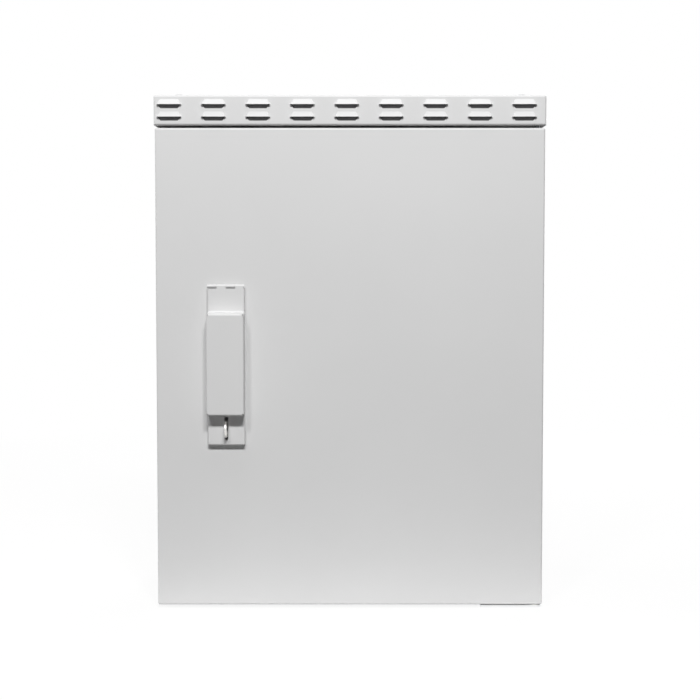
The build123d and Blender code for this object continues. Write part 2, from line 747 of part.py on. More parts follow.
def upper_hinge_bracket():
    low = UPPER_BRACKET_FLAT_Z
    high = UPPER_BRACKET_TOP
    return hinge_bracket(low, high, low, low + UPPER_BRACKET_HEIGHT, upper_screw_z(), low, high)


def hinge_bracket_screws():
    return [countersunk_screw(x, z) for x, z in hinge_screw_places()]


def hinge_bracket_nuts():
    front = -HALF_DEPTH + SHEET
    nuts = []
    for x, z in hinge_screw_places():
        nut = hexagon_y(x, z, M6_ACROSS_FLATS, front, front + M6_NUT)
        nuts.append(nut - round_y(x, z, M6_RADIUS, front, front + M6_NUT))
    return nuts


def hinge_pins():
    spans = (
        (LOWER_BRACKET_GAP, DOOR_BOTTOM + HINGE_PIN_REACH),
        (DOOR_TOP - HINGE_PIN_REACH, UPPER_BRACKET_TOP),
    )
    return [round_z(HINGE_X, HINGE_Y, HINGE_PIN_RADIUS, low, high) for low, high in spans]


def hinge_washer():
    bottom = LOWER_BRACKET_GAP + PLATE
    bore = HINGE_PIN_RADIUS + SHAFT_CLEARANCE
    return tube_z(HINGE_X, HINGE_Y, THRUST_WASHER_RADIUS, bore, bottom, DOOR_BOTTOM - THRUST_GAP)


# Door

def hinge_block(z0, z1, bore_z0, bore_z1):
    """A block that fills a corner of the door pan and turns on a hinge pin."""
    right = DOOR_HALF_WIDTH - SHEET
    solid = rounded_block(
        right - HINGE_BLOCK_WIDTH, right, DOOR_INNER_Y, DOOR_BACK_Y - SHEET, z0, z1, BEND - SHEET
    )
    return solid - round_z(HINGE_X, HINGE_Y, HINGE_PIN_RADIUS + SHAFT_CLEARANCE, bore_z0, bore_z1)


def lower_hinge_block():
    low = DOOR_BOTTOM + SHEET
    return hinge_block(low, low + HINGE_BLOCK_HEIGHT, low, DOOR_BOTTOM + HINGE_PIN_REACH + HINGE_BORE_SPARE)


def upper_hinge_block():
    high = DOOR_TOP - SHEET
    return hinge_block(high - HINGE_BLOCK_HEIGHT, high, DOOR_TOP - HINGE_PIN_REACH - HINGE_BORE_SPARE, high)


def cylinder_outline(margin):
    """The keyhole outline of a profile cylinder, grown by a margin."""
    barrel = Circle(CYLINDER_RADIUS + margin)
    width = CYLINDER_WEB + 2 * margin
    web = Pos(0, (CYLINDER_WEB / 2 - CYLINDER_DROP) / 2) * Rectangle(width, CYLINDER_DROP - CYLINDER_WEB / 2)
    foot = Pos(0, CYLINDER_WEB / 2 - CYLINDER_DROP) * Circle(width / 2)
    return Pos(COVER_X, CYLINDER_Z) * (barrel + web + foot)


def door_panel():
    x = DOOR_HALF_WIDTH
    outer = rounded_block(-x, x, DOOR_FRONT_Y, DOOR_BACK_Y, DOOR_BOTTOM, DOOR_TOP, BEND)
    inner = rounded_block(
        -x + SHEET,
        x - SHEET,
        DOOR_INNER_Y,
        DOOR_BACK_Y - SHEET,
        DOOR_BOTTOM + SHEET,
        DOOR_TOP - SHEET,
        BEND - SHEET,
    )
    back = block(
        -x + DOOR_RETURN,
        x - DOOR_RETURN,
        DOOR_BACK_Y - 2 * SHEET,
        DOOR_BACK_Y,
        DOOR_BOTTOM + DOOR_RETURN,
        DOOR_TOP - DOOR_RETURN,
    )
    panel = outer - inner - back
    for z in (DOOR_BOTTOM + SHEET / 2, DOOR_TOP - SHEET / 2):
        panel -= round_z(HINGE_X, HINGE_Y, HINGE_DOOR_HOLE_RADIUS, z - SHEET, z + SHEET)
    panel -= round_y(COVER_X, LOCK_Z, SPINDLE_RADIUS + RUNNING_GAP, DOOR_FRONT_Y, DOOR_INNER_Y)
    for place_x, place_z in case_screw_places():
        panel -= round_y(place_x, place_z, M5_RADIUS + BOLT_CLEARANCE, DOOR_FRONT_Y, DOOR_INNER_Y)
    return panel - prism_y(cylinder_outline(SHAFT_CLEARANCE), DOOR_FRONT_Y, DOOR_INNER_Y)


def door_gasket():
    middle = SHEET / 2
    ring = window(middle + GASKET_WIDTH / 2) - window(middle - GASKET_WIDTH / 2)
    return prism_y(ring, DOOR_INNER_Y, GASKET_BACK_Y)


def door_stiffener(side):
    """A hat section spot-welded inside the door."""
    foot = DOOR_INNER_Y
    crown = foot + STIFFENER_DEPTH
    wide = STIFFENER_CROWN / 2 + STIFFENER_FLANGE
    narrow = STIFFENER_CROWN / 2
    outline = polygon(
        (-wide, foot),
        (-narrow + SHEET, foot),
        (-narrow + SHEET, crown - SHEET),
        (narrow - SHEET, crown - SHEET),
        (narrow - SHEET, foot),
        (wide, foot),
        (wide, foot + SHEET),
        (narrow, foot + SHEET),
        (narrow, crown),
        (-narrow, crown),
        (-narrow, foot + SHEET),
        (-wide, foot + SHEET),
    )
    return prism_z(Pos(side * STIFFENER_X, 0) * outline, STIFFENER_BOTTOM, STIFFENER_TOP)


# Lock cover and its hinge

def cover_profile(inset):
    """Side view of the cover, which is flat at both ends and raised over the lock."""
    back = DOOR_FRONT_Y - COVER_WALL_GAP
    plate = COVER_PLATE_Y + inset
    front = COVER_PLATE_Y - BOX_DEPTH + inset
    return polygon(
        (back, COVER_TOP),
        (plate, COVER_TOP),
        (plate, BOX_TOP + BOX_TOP_FALL - inset),
        (front, BOX_TOP - inset),
        (front, BOX_BOTTOM + inset),
        (plate, BOX_BOTTOM + inset),
        (plate, COVER_BOTTOM + inset),
        (back, COVER_BOTTOM + inset),
    )


def cover_block(inset, radius):
    half = COVER_HALF_WIDTH - inset
    solid = prism_x(cover_profile(inset), COVER_X - half, COVER_X + half)
    ends = solid.faces().sort_by(Axis.Y)[-1].edges()
    top = solid.faces().sort_by(Axis.Z)[-1].edges()
    return fillet(solid.edges() - ends - top, radius)


def knuckle_spans():
    width = COVER_WIDTH / KNUCKLE_COUNT
    first = COVER_X - COVER_HALF_WIDTH
    half_gap = RUNNING_GAP / 2
    return [(first + i * width + half_gap, first + (i + 1) * width - half_gap) for i in range(KNUCKLE_COUNT)]


def knuckle(x0, x1):
    bore = COVER_PIN_RADIUS + SHAFT_CLEARANCE
    ring = round_x(COVER_HINGE_Y, COVER_HINGE_Z, KNUCKLE_RADIUS, x0, x1)
    return ring - round_x(COVER_HINGE_Y, COVER_HINGE_Z, bore, x0, x1)


def cover_reliefs():
    """Small round cuts where the bends meet at the corners of the raised part."""
    front = COVER_PLATE_Y - BOX_DEPTH
    reach = COVER_HALF_WIDTH - COVER_RELIEF_INSET
    heights = (BOX_TOP - COVER_RELIEF_INSET, BOX_BOTTOM + COVER_RELIEF_INSET)
    places = [(COVER_X + side * reach, z) for side in (-1, 1) for z in heights]
    return [round_y(x, z, COVER_RELIEF_RADIUS, front - SHEET, front + 2 * SHEET) for x, z in places]


def lock_cover():
    cover = cover_block(0, COVER_BEND)
    half = COVER_HALF_WIDTH - SHEET
    hollow = cover_block(SHEET, COVER_BEND - SHEET)
    cover -= hollow
    for relief in cover_reliefs():
        cover -= relief
    slot = Pos(COVER_X, STAPLE_CENTRE_Z) * SlotOverall(SLOT_HEIGHT, SLOT_WIDTH, rotation=90)
    cover -= prism_y(slot, COVER_PLATE_Y - SHEET, COVER_PLATE_Y + 2 * SHEET)
    for x0, x1 in knuckle_spans()[1::2]:
        low = max(x0, COVER_X - half)
        high = min(x1, COVER_X + half)
        tongue = block(low, high, COVER_PLATE_Y, COVER_PLATE_Y + SHEET, COVER_TOP - SHEET, COVER_HINGE_Z)
        tongue -= round_x(COVER_HINGE_Y, COVER_HINGE_Z, KNUCKLE_RADIUS - SHEET / 2, x0, x1)
        cover += tongue
        cover += knuckle(x0, x1)
    return cover


def cover_hinge_leaf():
    """Leaf behind the cover, with the first and third knuckles rolled on it."""
    barrel_back = COVER_HINGE_Y + KNUCKLE_RADIUS
    door = DOOR_FRONT_Y
    outline = polygon(
        (barrel_back - SHEET, COVER_HINGE_Z),
        (barrel_back, COVER_HINGE_Z),
        (barrel_back, COVER_LEAF_JOG_TOP),
        (door, COVER_LEAF_JOG_FOOT),
        (door, COVER_LEAF_FOOT),
        (door - SHEET, COVER_LEAF_FOOT),
        (door - SHEET, COVER_LEAF_JOG_FOOT),
        (barrel_back - SHEET, COVER_LEAF_JOG_TOP),
    )
    half = COVER_HALF_WIDTH - SHEET - COVER_LEAF_INSET
    leaf = prism_x(outline, COVER_X - half, COVER_X + half)
    for x0, x1 in knuckle_spans()[1::2]:
        low = x0 - RUNNING_GAP
        high = x1 + RUNNING_GAP
        leaf -= block(low, high, COVER_PLATE_Y, door, COVER_LEAF_JOG_TOP, COVER_HINGE_Z)
    leaf -= round_x(COVER_HINGE_Y, COVER_HINGE_Z, KNUCKLE_RADIUS - SHEET / 2, COVER_X - half, COVER_X + half)
    for x0, x1 in knuckle_spans()[0::2]:
        leaf += knuckle(x0, x1)
    return leaf


def cover_hinge_pin():
    spans = knuckle_spans()
    return round_x(COVER_HINGE_Y, COVER_HINGE_Z, COVER_PIN_RADIUS, spans[0][0], spans[-1][1])


def padlock_staple():
    """A round bar bent to a U that stands out of the door."""
    bend = STAPLE_SPACING / 2
    turn_y = DOOR_FRONT_Y - STAPLE_REACH + STAPLE_RADIUS + bend
    high = STAPLE_CENTRE_Z + bend
    low = STAPLE_CENTRE_Z - bend
    upper_foot = (COVER_X, DOOR_FRONT_Y, high)
    upper_turn = (COVER_X, turn_y, high)
    tip = (COVER_X, turn_y - bend, STAPLE_CENTRE_Z)
    lower_turn = (COVER_X, turn_y, low)
    lower_foot = (COVER_X, DOOR_FRONT_Y, low)
    route = Line(upper_foot, upper_turn)
    route += ThreePointArc(upper_turn, tip, lower_turn)
    route += Line(lower_turn, lower_foot)
    start = Plane(upper_foot, z_dir=(0, -1, 0))
    return sweep(start * Circle(STAPLE_RADIUS), path=route)


# Lock plate, knob and cylinder

def lock_plate():
    front = DOOR_FRONT_Y - LOCK_PLATE_THICK
    height = LOCK_PLATE_TOP - LOCK_PLATE_BOTTOM
    outline = Pos(COVER_X, LOCK_PLATE_BOTTOM + height / 2) * RectangleRounded(
        LOCK_PLATE_WIDTH, height, LOCK_PLATE_RADIUS
    )
    plate = prism_y(outline, front, DOOR_FRONT_Y)
    plate = fillet(plate.faces().sort_by(Axis.Y)[0].edges(), LOCK_PLATE_EDGE)
    plate -= round_y(COVER_X, LOCK_Z, SPINDLE_RADIUS + SHAFT_CLEARANCE, front, DOOR_FRONT_Y)
    plate -= prism_y(cylinder_outline(SHAFT_CLEARANCE), front, DOOR_FRONT_Y)
    for x, z in case_screw_places():
        plate -= round_y(x, z, M5_RADIUS, DOOR_FRONT_Y - M5_PLATE_GRIP, DOOR_FRONT_Y)
    return plate


def knob_front_y():
    return DOOR_FRONT_Y - KNOB_FRONT


def knob_back_y():
    return DOOR_FRONT_Y - LOCK_PLATE_THICK - RUNNING_GAP


def wing_knob():
    front = knob_front_y()
    back = knob_back_y()
    hub = round_y(COVER_X, LOCK_Z, KNOB_HUB_RADIUS, front, back)
    wing = Pos(COVER_X, LOCK_Z) * SlotOverall(KNOB_WING, KNOB_WING_THICK, rotation=90)
    grip = prism_y(wing, front, DOOR_FRONT_Y - KNOB_WING_BACK)
    knob = fillet((hub + grip).faces().sort_by(Axis.Y)[0].edges(), LOCK_PLATE_EDGE)
    square = Pos(COVER_X, LOCK_Z) * Rectangle(SQUARE, SQUARE)
    knob -= prism_y(square, front + KNOB_WEB, back)
    knob -= round_y(COVER_X, LOCK_Z, M4_RADIUS, front, back)
    return knob - round_y(COVER_X, LOCK_Z, M4_HEAD_RADIUS, front, front + M4_HEAD)


def knob_screw():
    front = knob_front_y()
    head = round_y(COVER_X, LOCK_Z, M4_HEAD_RADIUS, front, front + M4_HEAD)
    return head + round_y(COVER_X, LOCK_Z, M4_RADIUS, front + M4_HEAD, front + M4_LENGTH)


def spindle():
    """Square at both ends, for the knob in front and the pinion behind."""
    front = knob_front_y()
    square = Pos(COVER_X, LOCK_Z) * Rectangle(SQUARE, SQUARE)
    shaft = prism_y(square, front + KNOB_WEB, knob_back_y())
    shaft += round_y(COVER_X, LOCK_Z, SPINDLE_RADIUS, knob_back_y(), CASE_INNER_Y)
    shaft += prism_y(square, CASE_INNER_Y, CASE_OUTER_Y + RUNNING_GAP)
    return shaft - round_y(COVER_X, LOCK_Z, M4_RADIUS, front, front + M4_LENGTH)


def profile_cylinder():
    front = DOOR_FRONT_Y - CYLINDER_FRONT
    back = front + CYLINDER_LENGTH
    housing = prism_y(cylinder_outline(0), front, back)
    return housing - round_y(COVER_X, CYLINDER_Z, PLUG_RADIUS + SHAFT_CLEARANCE, front, back)


def key_plug():
    front = DOOR_FRONT_Y - CYLINDER_FRONT
    back = front + CYLINDER_LENGTH + CAM_GAP
    plug = round_y(COVER_X, CYLINDER_Z, PLUG_RADIUS, front, back)
    keyway = Pos(COVER_X, CYLINDER_Z) * Rectangle(KEYWAY_WIDTH, KEYWAY_HEIGHT)
    plug -= prism_y(keyway, front, front + KEYWAY_DEPTH)
    long = CAM_REACH + CAM_WIDTH / 2
    middle = -(CAM_REACH - CAM_WIDTH / 2) / 2
    tongue = Pos(COVER_X, CYLINDER_Z + middle) * SlotOverall(long, CAM_WIDTH, rotation=90)
    return plug + prism_y(tongue, back, back + CAM_THICK)


# Rack and pinion rod latch

def involute(angle):
    return math.tan(angle) - angle


def pinion_outline():
    """Involute teeth, the first one pointing along +X."""
    pressure = math.radians(PRESSURE_ANGLE)
    base = PITCH_RADIUS * math.cos(pressure)
    at_pitch = math.pi / (2 * TEETH) + involute(pressure)
    flank = [(PINION_ROOT, at_pitch)]
    for step in range(FLANK_STEPS + 1):
        radius = base + (PINION_TIP - base) * step / FLANK_STEPS
        half_angle = at_pitch - involute(math.acos(base / radius))
        flank.append((radius, half_angle))
    points = []
    for tooth in range(TEETH):
        centre = 2 * math.pi * tooth / TEETH
        for radius, half_angle in flank:
            points.append((radius * math.cos(centre - half_angle), radius * math.sin(centre - half_angle)))
        for radius, half_angle in reversed(flank):
            points.append((radius * math.cos(centre + half_angle), radius * math.sin(centre + half_angle)))
    return Pos(COVER_X, LOCK_Z) * polygon(*points)


def drive_pinion():
    pinion = prism_y(pinion_outline(), GEAR_FRONT_Y, GEAR_BACK_Y)
    square = Pos(COVER_X, LOCK_Z) * Rectangle(SQUARE, SQUARE)
    return pinion - prism_y(square, GEAR_FRONT_Y, GEAR_BACK_Y)


def rack_ends(side):
    """Top and bottom of a rack; the right one hangs lower teeth, the left one higher."""
    short = RACK_LEAD_TEETH * TOOTH_PITCH
    long = (RACK_TEETH - RACK_LEAD_TEETH) * TOOTH_PITCH
    if side > 0:
        return LOCK_Z - short, LOCK_Z + long
    return LOCK_Z - long, LOCK_Z + short


def rack(side):
    """A toothed bar beside the pinion: side 1 is right of it and side -1 left."""
    low, high = rack_ends(side)
    slope = math.tan(math.radians(PRESSURE_ANGLE))
    half = (TOOTH_PITCH / 2 - BACKLASH) / 2
    tip_x = PITCH_RADIUS - RACK_ADDENDUM
    root_x = PITCH_RADIUS + RACK_DEDENDUM
    tip_half = half - RACK_ADDENDUM * slope
    root_half = half + RACK_DEDENDUM * slope
    points = [(RACK_BACK_OFFSET, low), (root_x, low)]
    for tooth in range(RACK_TEETH):
        z = low + (tooth + 0.5) * TOOTH_PITCH
        points += [(root_x, z - root_half), (tip_x, z - tip_half)]
        points += [(tip_x, z + tip_half), (root_x, z + root_half)]
    points += [(root_x, high), (RACK_BACK_OFFSET, high)]
    outline = polygon(*[(COVER_X + side * x, z) for x, z in points])
    return prism_y(outline, GEAR_FRONT_Y, GEAR_BACK_Y)


def rod_x(side):
    return COVER_X + side * ROD_OFFSET


def upper_rod():
    return round_z(rod_x(-1), GEAR_Y, ROD_RADIUS, rack_ends(-1)[1], UPPER_ROD_END)


def lower_rod():
    return round_z(rod_x(1), GEAR_Y, ROD_RADIUS, LOWER_ROD_END, rack_ends(1)[0])


def gear_case():
    """Front plate with two side walls that guide the backs of the racks."""
    inner = RACK_BACK_OFFSET + RUNNING_GAP
    outer = inner + CASE_WALL
    low = LOCK_Z - CASE_HALF_HEIGHT
    high = LOCK_Z + CASE_HALF_HEIGHT
    case = block(COVER_X - outer, COVER_X + outer, CASE_FRONT_Y, CASE_INNER_Y, low, high)
    for side in (-1, 1):
        edges = sorted((COVER_X + side * inner, COVER_X + side * outer))
        case += block(edges[0], edges[1], CASE_INNER_Y, CASE_REAR_Y, low, high)
    case -= round_y(COVER_X, LOCK_Z, SPINDLE_RADIUS + SHAFT_CLEARANCE, CASE_FRONT_Y, CASE_INNER_Y)
    for x, z in case_screw_places():
        case -= round_y(x, z, M5_RADIUS + BOLT_CLEARANCE, CASE_FRONT_Y, CASE_INNER_Y)
    return case


def gear_case_cover():
    outer = RACK_BACK_OFFSET + RUNNING_GAP + CASE_WALL
    low = LOCK_Z - CASE_HALF_HEIGHT
    high = LOCK_Z + CASE_HALF_HEIGHT
    cover = block(COVER_X - outer, COVER_X + outer, CASE_REAR_Y, CASE_OUTER_Y, low, high)
    cover -= round_y(COVER_X, LOCK_Z, SPINDLE_RADIUS + SHAFT_CLEARANCE, CASE_REAR_Y, CASE_OUTER_Y)
    for x, z in case_screw_places():
        cover -= round_y(x, z, M5_RADIUS + BOLT_CLEARANCE, CASE_REAR_Y, CASE_OUTER_Y)
    return cover


def case_spacers():
    """Sleeves that hold the case off the door and its cover off the case."""
    bore = M5_RADIUS + BOLT_CLEARANCE
    sleeves = []
    for x, z in case_screw_places():
        sleeves.append(tube_y(x, z, CASE_SLEEVE_RADIUS, bore, DOOR_INNER_Y, CASE_FRONT_Y))
        sleeves.append(tube_y(x, z, CASE_SLEEVE_RADIUS, bore, CASE_INNER_Y, CASE_REAR_Y))
    return sleeves


def case_screws():
    screws = []
    for x, z in case_screw_places():
        shank = round_y(x, z, M5_RADIUS, DOOR_FRONT_Y - M5_PLATE_GRIP, CASE_OUTER_Y)
        screws.append(shank + round_y(x, z, M5_HEAD_RADIUS, CASE_OUTER_Y, CASE_OUTER_Y + M5_HEAD))
    return screws


def guide_height(end):
    """The height of a guide's arm near the upper or the lower end of the opening."""
    if end > 0:
        return OPENING_TOP - GUIDE_INSET
    return OPENING_BOTTOM + GUIDE_INSET


def rod_guide(side, end):
    """An angle on the door whose arm holds the bush of a rod."""
    x = rod_x(side)
    z = guide_height(end)
    half = GUIDE_WIDTH / 2
    arm_back = GEAR_Y + BUSH_FLANGE_RADIUS + GUIDE_PLATE
    arm = block(x - half, x + half, DOOR_INNER_Y, arm_back, z - GUIDE_PLATE / 2, z + GUIDE_PLATE / 2)
    foot_low = z - end * GUIDE_FOOT
    low, high = sorted((foot_low, z))
    foot = block(x - half, x + half, DOOR_INNER_Y, DOOR_INNER_Y + GUIDE_PLATE, low, high)
    return arm + foot - round_z(x, GEAR_Y, BUSH_RADIUS, z - GUIDE_PLATE, z + GUIDE_PLATE)


def guide_bush(side, end):
    """A flanged plastic bush in the arm of a rod guide."""
    x = rod_x(side)
    z = guide_height(end)
    bore = ROD_RADIUS + SHAFT_CLEARANCE
    low, high = sorted((z - end * GUIDE_PLATE * 1.5, z + end * GUIDE_PLATE / 2))
    tube = round_z(x, GEAR_Y, BUSH_RADIUS, low, high)
    flange_start = z + end * GUIDE_PLATE / 2
    flange_low, flange_high = sorted((flange_start, flange_start + end * BUSH_FLANGE))
    tube += round_z(x, GEAR_Y, BUSH_FLANGE_RADIUS, flange_low, flange_high)
    return tube - round_z(x, GEAR_Y, bore, low - BUSH_FLANGE, high + BUSH_FLANGE)


def guide_bushes():
    return [guide_bush(-1, 1), guide_bush(1, -1)]


def keeper(side, end):
    """A plate behind the body's rim with the hole that a rod shoots into."""
    x = rod_x(side)
    edge = OPENING_TOP if end > 0 else OPENING_BOTTOM
    low, high = sorted((edge + end * KEEPER_SET, edge + end * (KEEPER_SET + KEEPER_THICK)))
    front = -HALF_DEPTH + SHEET
    half = KEEPER_WIDTH / 2
    plate = block(x - half, x + half, front, front + KEEPER_DEPTH, low, high)
    return plate - round_z(x, GEAR_Y, KEEPER_HOLE_RADIUS, low, high)


# Inside the body

def mounting_plate():
    middle = MOUNT_PLATE_BOTTOM + MOUNT_PLATE_HEIGHT / 2
    outline = Pos(0, middle) * RectangleRounded(MOUNT_PLATE_WIDTH, MOUNT_PLATE_HEIGHT, MOUNT_PLATE_RADIUS)
    plate = prism_y(outline, MOUNT_PLATE_Y, MOUNT_PLATE_Y + MOUNT_PLATE_THICK)
    for x, z in plate_stud_places():
        plate -= round_y(x, z, STUD_RADIUS + BOLT_CLEARANCE, MOUNT_PLATE_Y, MOUNT_PLATE_Y + MOUNT_PLATE_THICK)
    return plate


def plate_studs():
    front = MOUNT_PLATE_Y - STUD_FRONT
    return [round_y(x, z, STUD_RADIUS, front, HALF_DEPTH - SHEET) for x, z in plate_stud_places()]


def plate_nuts():
    back = MOUNT_PLATE_Y + MOUNT_PLATE_THICK
    nuts = []
    for x, z in plate_stud_places():
        for y0, y1 in ((MOUNT_PLATE_Y - M8_NUT, MOUNT_PLATE_Y), (back, back + M8_NUT)):
            nut = hexagon_y(x, z, M8_ACROSS_FLATS, y0, y1)
            nuts.append(nut - round_y(x, z, STUD_RADIUS, y0, y1))
    return nuts


def gland_places():
    return [-GLAND_X, GLAND_X]


def blank_places():
    return [-PLUG_X, PLUG_X]


def gland_plate():
    plate = prism_z(Rectangle(GLAND_PLATE_WIDTH, GLAND_PLATE_DEPTH), GLAND_PLATE_BOTTOM, GLAND_PLATE_TOP)
    for x in gland_places() + blank_places():
        plate -= round_z(x, 0, GLAND_THREAD_RADIUS + BOLT_CLEARANCE, GLAND_PLATE_BOTTOM, GLAND_PLATE_TOP)
    for x, y in gland_screw_places():
        plate -= round_z(x, y, M5_RADIUS + BOLT_CLEARANCE, GLAND_PLATE_BOTTOM, GLAND_PLATE_TOP)
    return plate


def gland_plate_gasket():
    outer = Rectangle(GLAND_PLATE_WIDTH, GLAND_PLATE_DEPTH)
    inner = Rectangle(TRAY_OPENING_WIDTH, TRAY_OPENING_DEPTH)
    gasket = prism_z(outer - inner, TRAY_TOP, GLAND_PLATE_BOTTOM)
    for x, y in gland_screw_places():
        gasket -= round_z(x, y, M5_RADIUS + BOLT_CLEARANCE, TRAY_TOP, GLAND_PLATE_BOTTOM)
    return gasket


def gland_plate_screws():
    tip = TRAY_TOP - SHEET - M5_NUT - SHEET
    screws = []
    for x, y in gland_screw_places():
        shank = round_z(x, y, M5_RADIUS, tip, GLAND_PLATE_TOP)
        screws.append(shank + round_z(x, y, M5_HEAD_RADIUS, GLAND_PLATE_TOP, GLAND_PLATE_TOP + M5_HEAD))
    return screws


def gland_plate_nuts():
    high = TRAY_TOP - SHEET
    return [hex_nut(x, y, M5_RADIUS, M5_ACROSS_FLATS, high - M5_NUT, high) for x, y in gland_screw_places()]


def cable_glands():
    """Hexagon flange under the gland plate, with a thread above and below it."""
    thread_top = GLAND_PLATE_TOP + GLAND_THREAD_ABOVE
    flange_bottom = GLAND_PLATE_BOTTOM - GLAND_FLANGE
    glands = []
    for x in gland_places():
        gland = hexagon_z(x, 0, GLAND_ACROSS_FLATS, flange_bottom, GLAND_PLATE_BOTTOM)
        gland += round_z(x, 0, GLAND_THREAD_RADIUS, BODY_TUBE_BOTTOM, thread_top)
        glands.append(gland - round_z(x, 0, GLAND_BORE_RADIUS, BODY_TUBE_BOTTOM, thread_top))
    return glands


def gland_dome_nuts():
    flange_bottom = GLAND_PLATE_BOTTOM - GLAND_FLANGE
    top = flange_bottom - RUNNING_GAP
    nose = DOME_BOTTOM + DOME_NOSE
    lip = DOME_BOTTOM + DOME_LIP
    thread = GLAND_THREAD_RADIUS + SHAFT_CLEARANCE
    seal = GLAND_BORE_RADIUS
    outline = polygon(
        (DOME_MOUTH_RADIUS, DOME_BOTTOM),
        (DOME_NOSE_RADIUS, DOME_BOTTOM),
        (DOME_RADIUS, nose),
        (DOME_RADIUS, top),
        (thread, top),
        (thread, BODY_TUBE_BOTTOM),
        (seal, BODY_TUBE_BOTTOM),
        (seal, lip),
        (DOME_MOUTH_RADIUS, lip),
    )
    nut = revolve(Plane.XZ * outline, axis=Axis.Z)
    return [Pos(x, 0, 0) * nut for x in gland_places()]


def gland_seals():
    low = DOME_BOTTOM + DOME_LIP
    return [tube_z(x, 0, GLAND_BORE_RADIUS, GLAND_SEAL_BORE, low, SEAL_TOP) for x in gland_places()]


def gland_locknuts():
    low = GLAND_PLATE_TOP
    high = low + LOCKNUT_THICK
    places = gland_places() + blank_places()
    return [hex_nut(x, 0, GLAND_THREAD_RADIUS, LOCKNUT_ACROSS_FLATS, low, high) for x in places]


def blanking_plugs():
    thread_top = GLAND_PLATE_TOP + GLAND_THREAD_ABOVE
    plugs = []
    for x in blank_places():
        head = hexagon_z(x, 0, GLAND_ACROSS_FLATS, GLAND_PLATE_BOTTOM - GLAND_FLANGE, GLAND_PLATE_BOTTOM)
        plugs.append(head + round_z(x, 0, GLAND_THREAD_RADIUS, GLAND_PLATE_BOTTOM, thread_top))
    return plugs


def earth_stud():
    left = -HALF_WIDTH + SHEET
    return round_x(EARTH_Y, EARTH_Z, STUD_RADIUS, left, left + EARTH_LENGTH)


def earth_nuts():
    left = -HALF_WIDTH + SHEET
    nuts = []
    for start in (left + SHEET, left + SHEET + M8_NUT + ROOF_WASHER_THICK):
        nut = prism_x(Pos(EARTH_Y, EARTH_Z) * hexagon(M8_ACROSS_FLATS), start, start + M8_NUT)
        nuts.append(nut - round_x(EARTH_Y, EARTH_Z, STUD_RADIUS, start, start + M8_NUT))
    start = left + SHEET + M8_NUT
    end = start + ROOF_WASHER_THICK
    washer = round_x(EARTH_Y, EARTH_Z, 2 * STUD_RADIUS, start, end)
    nuts.append(washer - round_x(EARTH_Y, EARTH_Z, STUD_RADIUS, start, end))
    return nuts


# Every sub-part, by its file name

PARTS = {
    "enclosure_body": enclosure_body,
    "front_frame": front_frame,
    "base_plate": base_plate,
    "cable_tray": cable_tray,
    "roof_hood": roof_hood,
    "louvre_screen": louvre_screen,
    "roof_bolts": roof_bolts,
    "roof_washers": roof_washers,
    "roof_seals": roof_seals,
    "roof_spacers": roof_spacers,
    "roof_nuts": roof_nuts,
    "lower_hinge_bracket": lower_hinge_bracket,
    "upper_hinge_bracket": upper_hinge_bracket,
    "hinge_bracket_screws": hinge_bracket_screws,
    "hinge_bracket_nuts": hinge_bracket_nuts,
    "hinge_pins": hinge_pins,
    "hinge_washer": hinge_washer,
    "rod_keepers": lambda: [keeper(-1, 1), keeper(1, -1)],
    "mounting_plate": mounting_plate,
    "plate_studs": plate_studs,
    "plate_nuts": plate_nuts,
    "gland_plate": gland_plate,
    "gland_plate_gasket": gland_plate_gasket,
    "gland_plate_screws": gland_plate_screws,
    "gland_plate_nuts": gland_plate_nuts,
    "cable_glands": cable_glands,
    "gland_dome_nuts": gland_dome_nuts,
    "gland_seals": gland_seals,
    "gland_locknuts": gland_locknuts,
    "blanking_plugs": blanking_plugs,
    "earth_stud": earth_stud,
    "earth_nuts": earth_nuts,
    "door_panel": door_panel,
    "door_gasket": door_gasket,
    "door_stiffener_left": lambda: door_stiffener(-1),
    "door_stiffener_right": lambda: door_stiffener(1),
    "lower_hinge_block": lower_hinge_block,
    "upper_hinge_block": upper_hinge_block,
    "cover_hinge_leaf": cover_hinge_leaf,
    "cover_hinge_pin": cover_hinge_pin,
    "padlock_staple": padlock_staple,
    "lock_plate": lock_plate,
    "profile_cylinder": profile_cylinder,
    "gear_case": gear_case,
    "gear_case_cover": gear_case_cover,
    "case_spacers": case_spacers,
    "case_screws": case_screws,
    "upper_rod_guide": lambda: rod_guide(-1, 1),
    "lower_rod_guide": lambda: rod_guide(1, -1),
    "guide_bushes": guide_bushes,
    "lock_cover": lock_cover,
    "wing_knob": wing_knob,
    "knob_screw": knob_screw,
    "spindle": spindle,
    "drive_pinion": drive_pinion,
    "upper_rack": lambda: rack(-1),
    "upper_rod": upper_rod,
    "lower_rack": lambda: rack(1),
    "lower_rod": lower_rod,
    "key_plug": key_plug,
}

os.makedirs("parts", exist_ok=True)
for name, make in PARTS.items():
    made = make()
    pieces = made if isinstance(made, list) else [made]
    solids = [solid for piece in pieces for solid in piece.solids()]
    solids = [solid.clean() for solid in solids]
    shape = solids[0] if len(solids) == 1 else Compound(solids)
    export_step(shape, f"parts/{name}.step")
    print(name, len(solids))
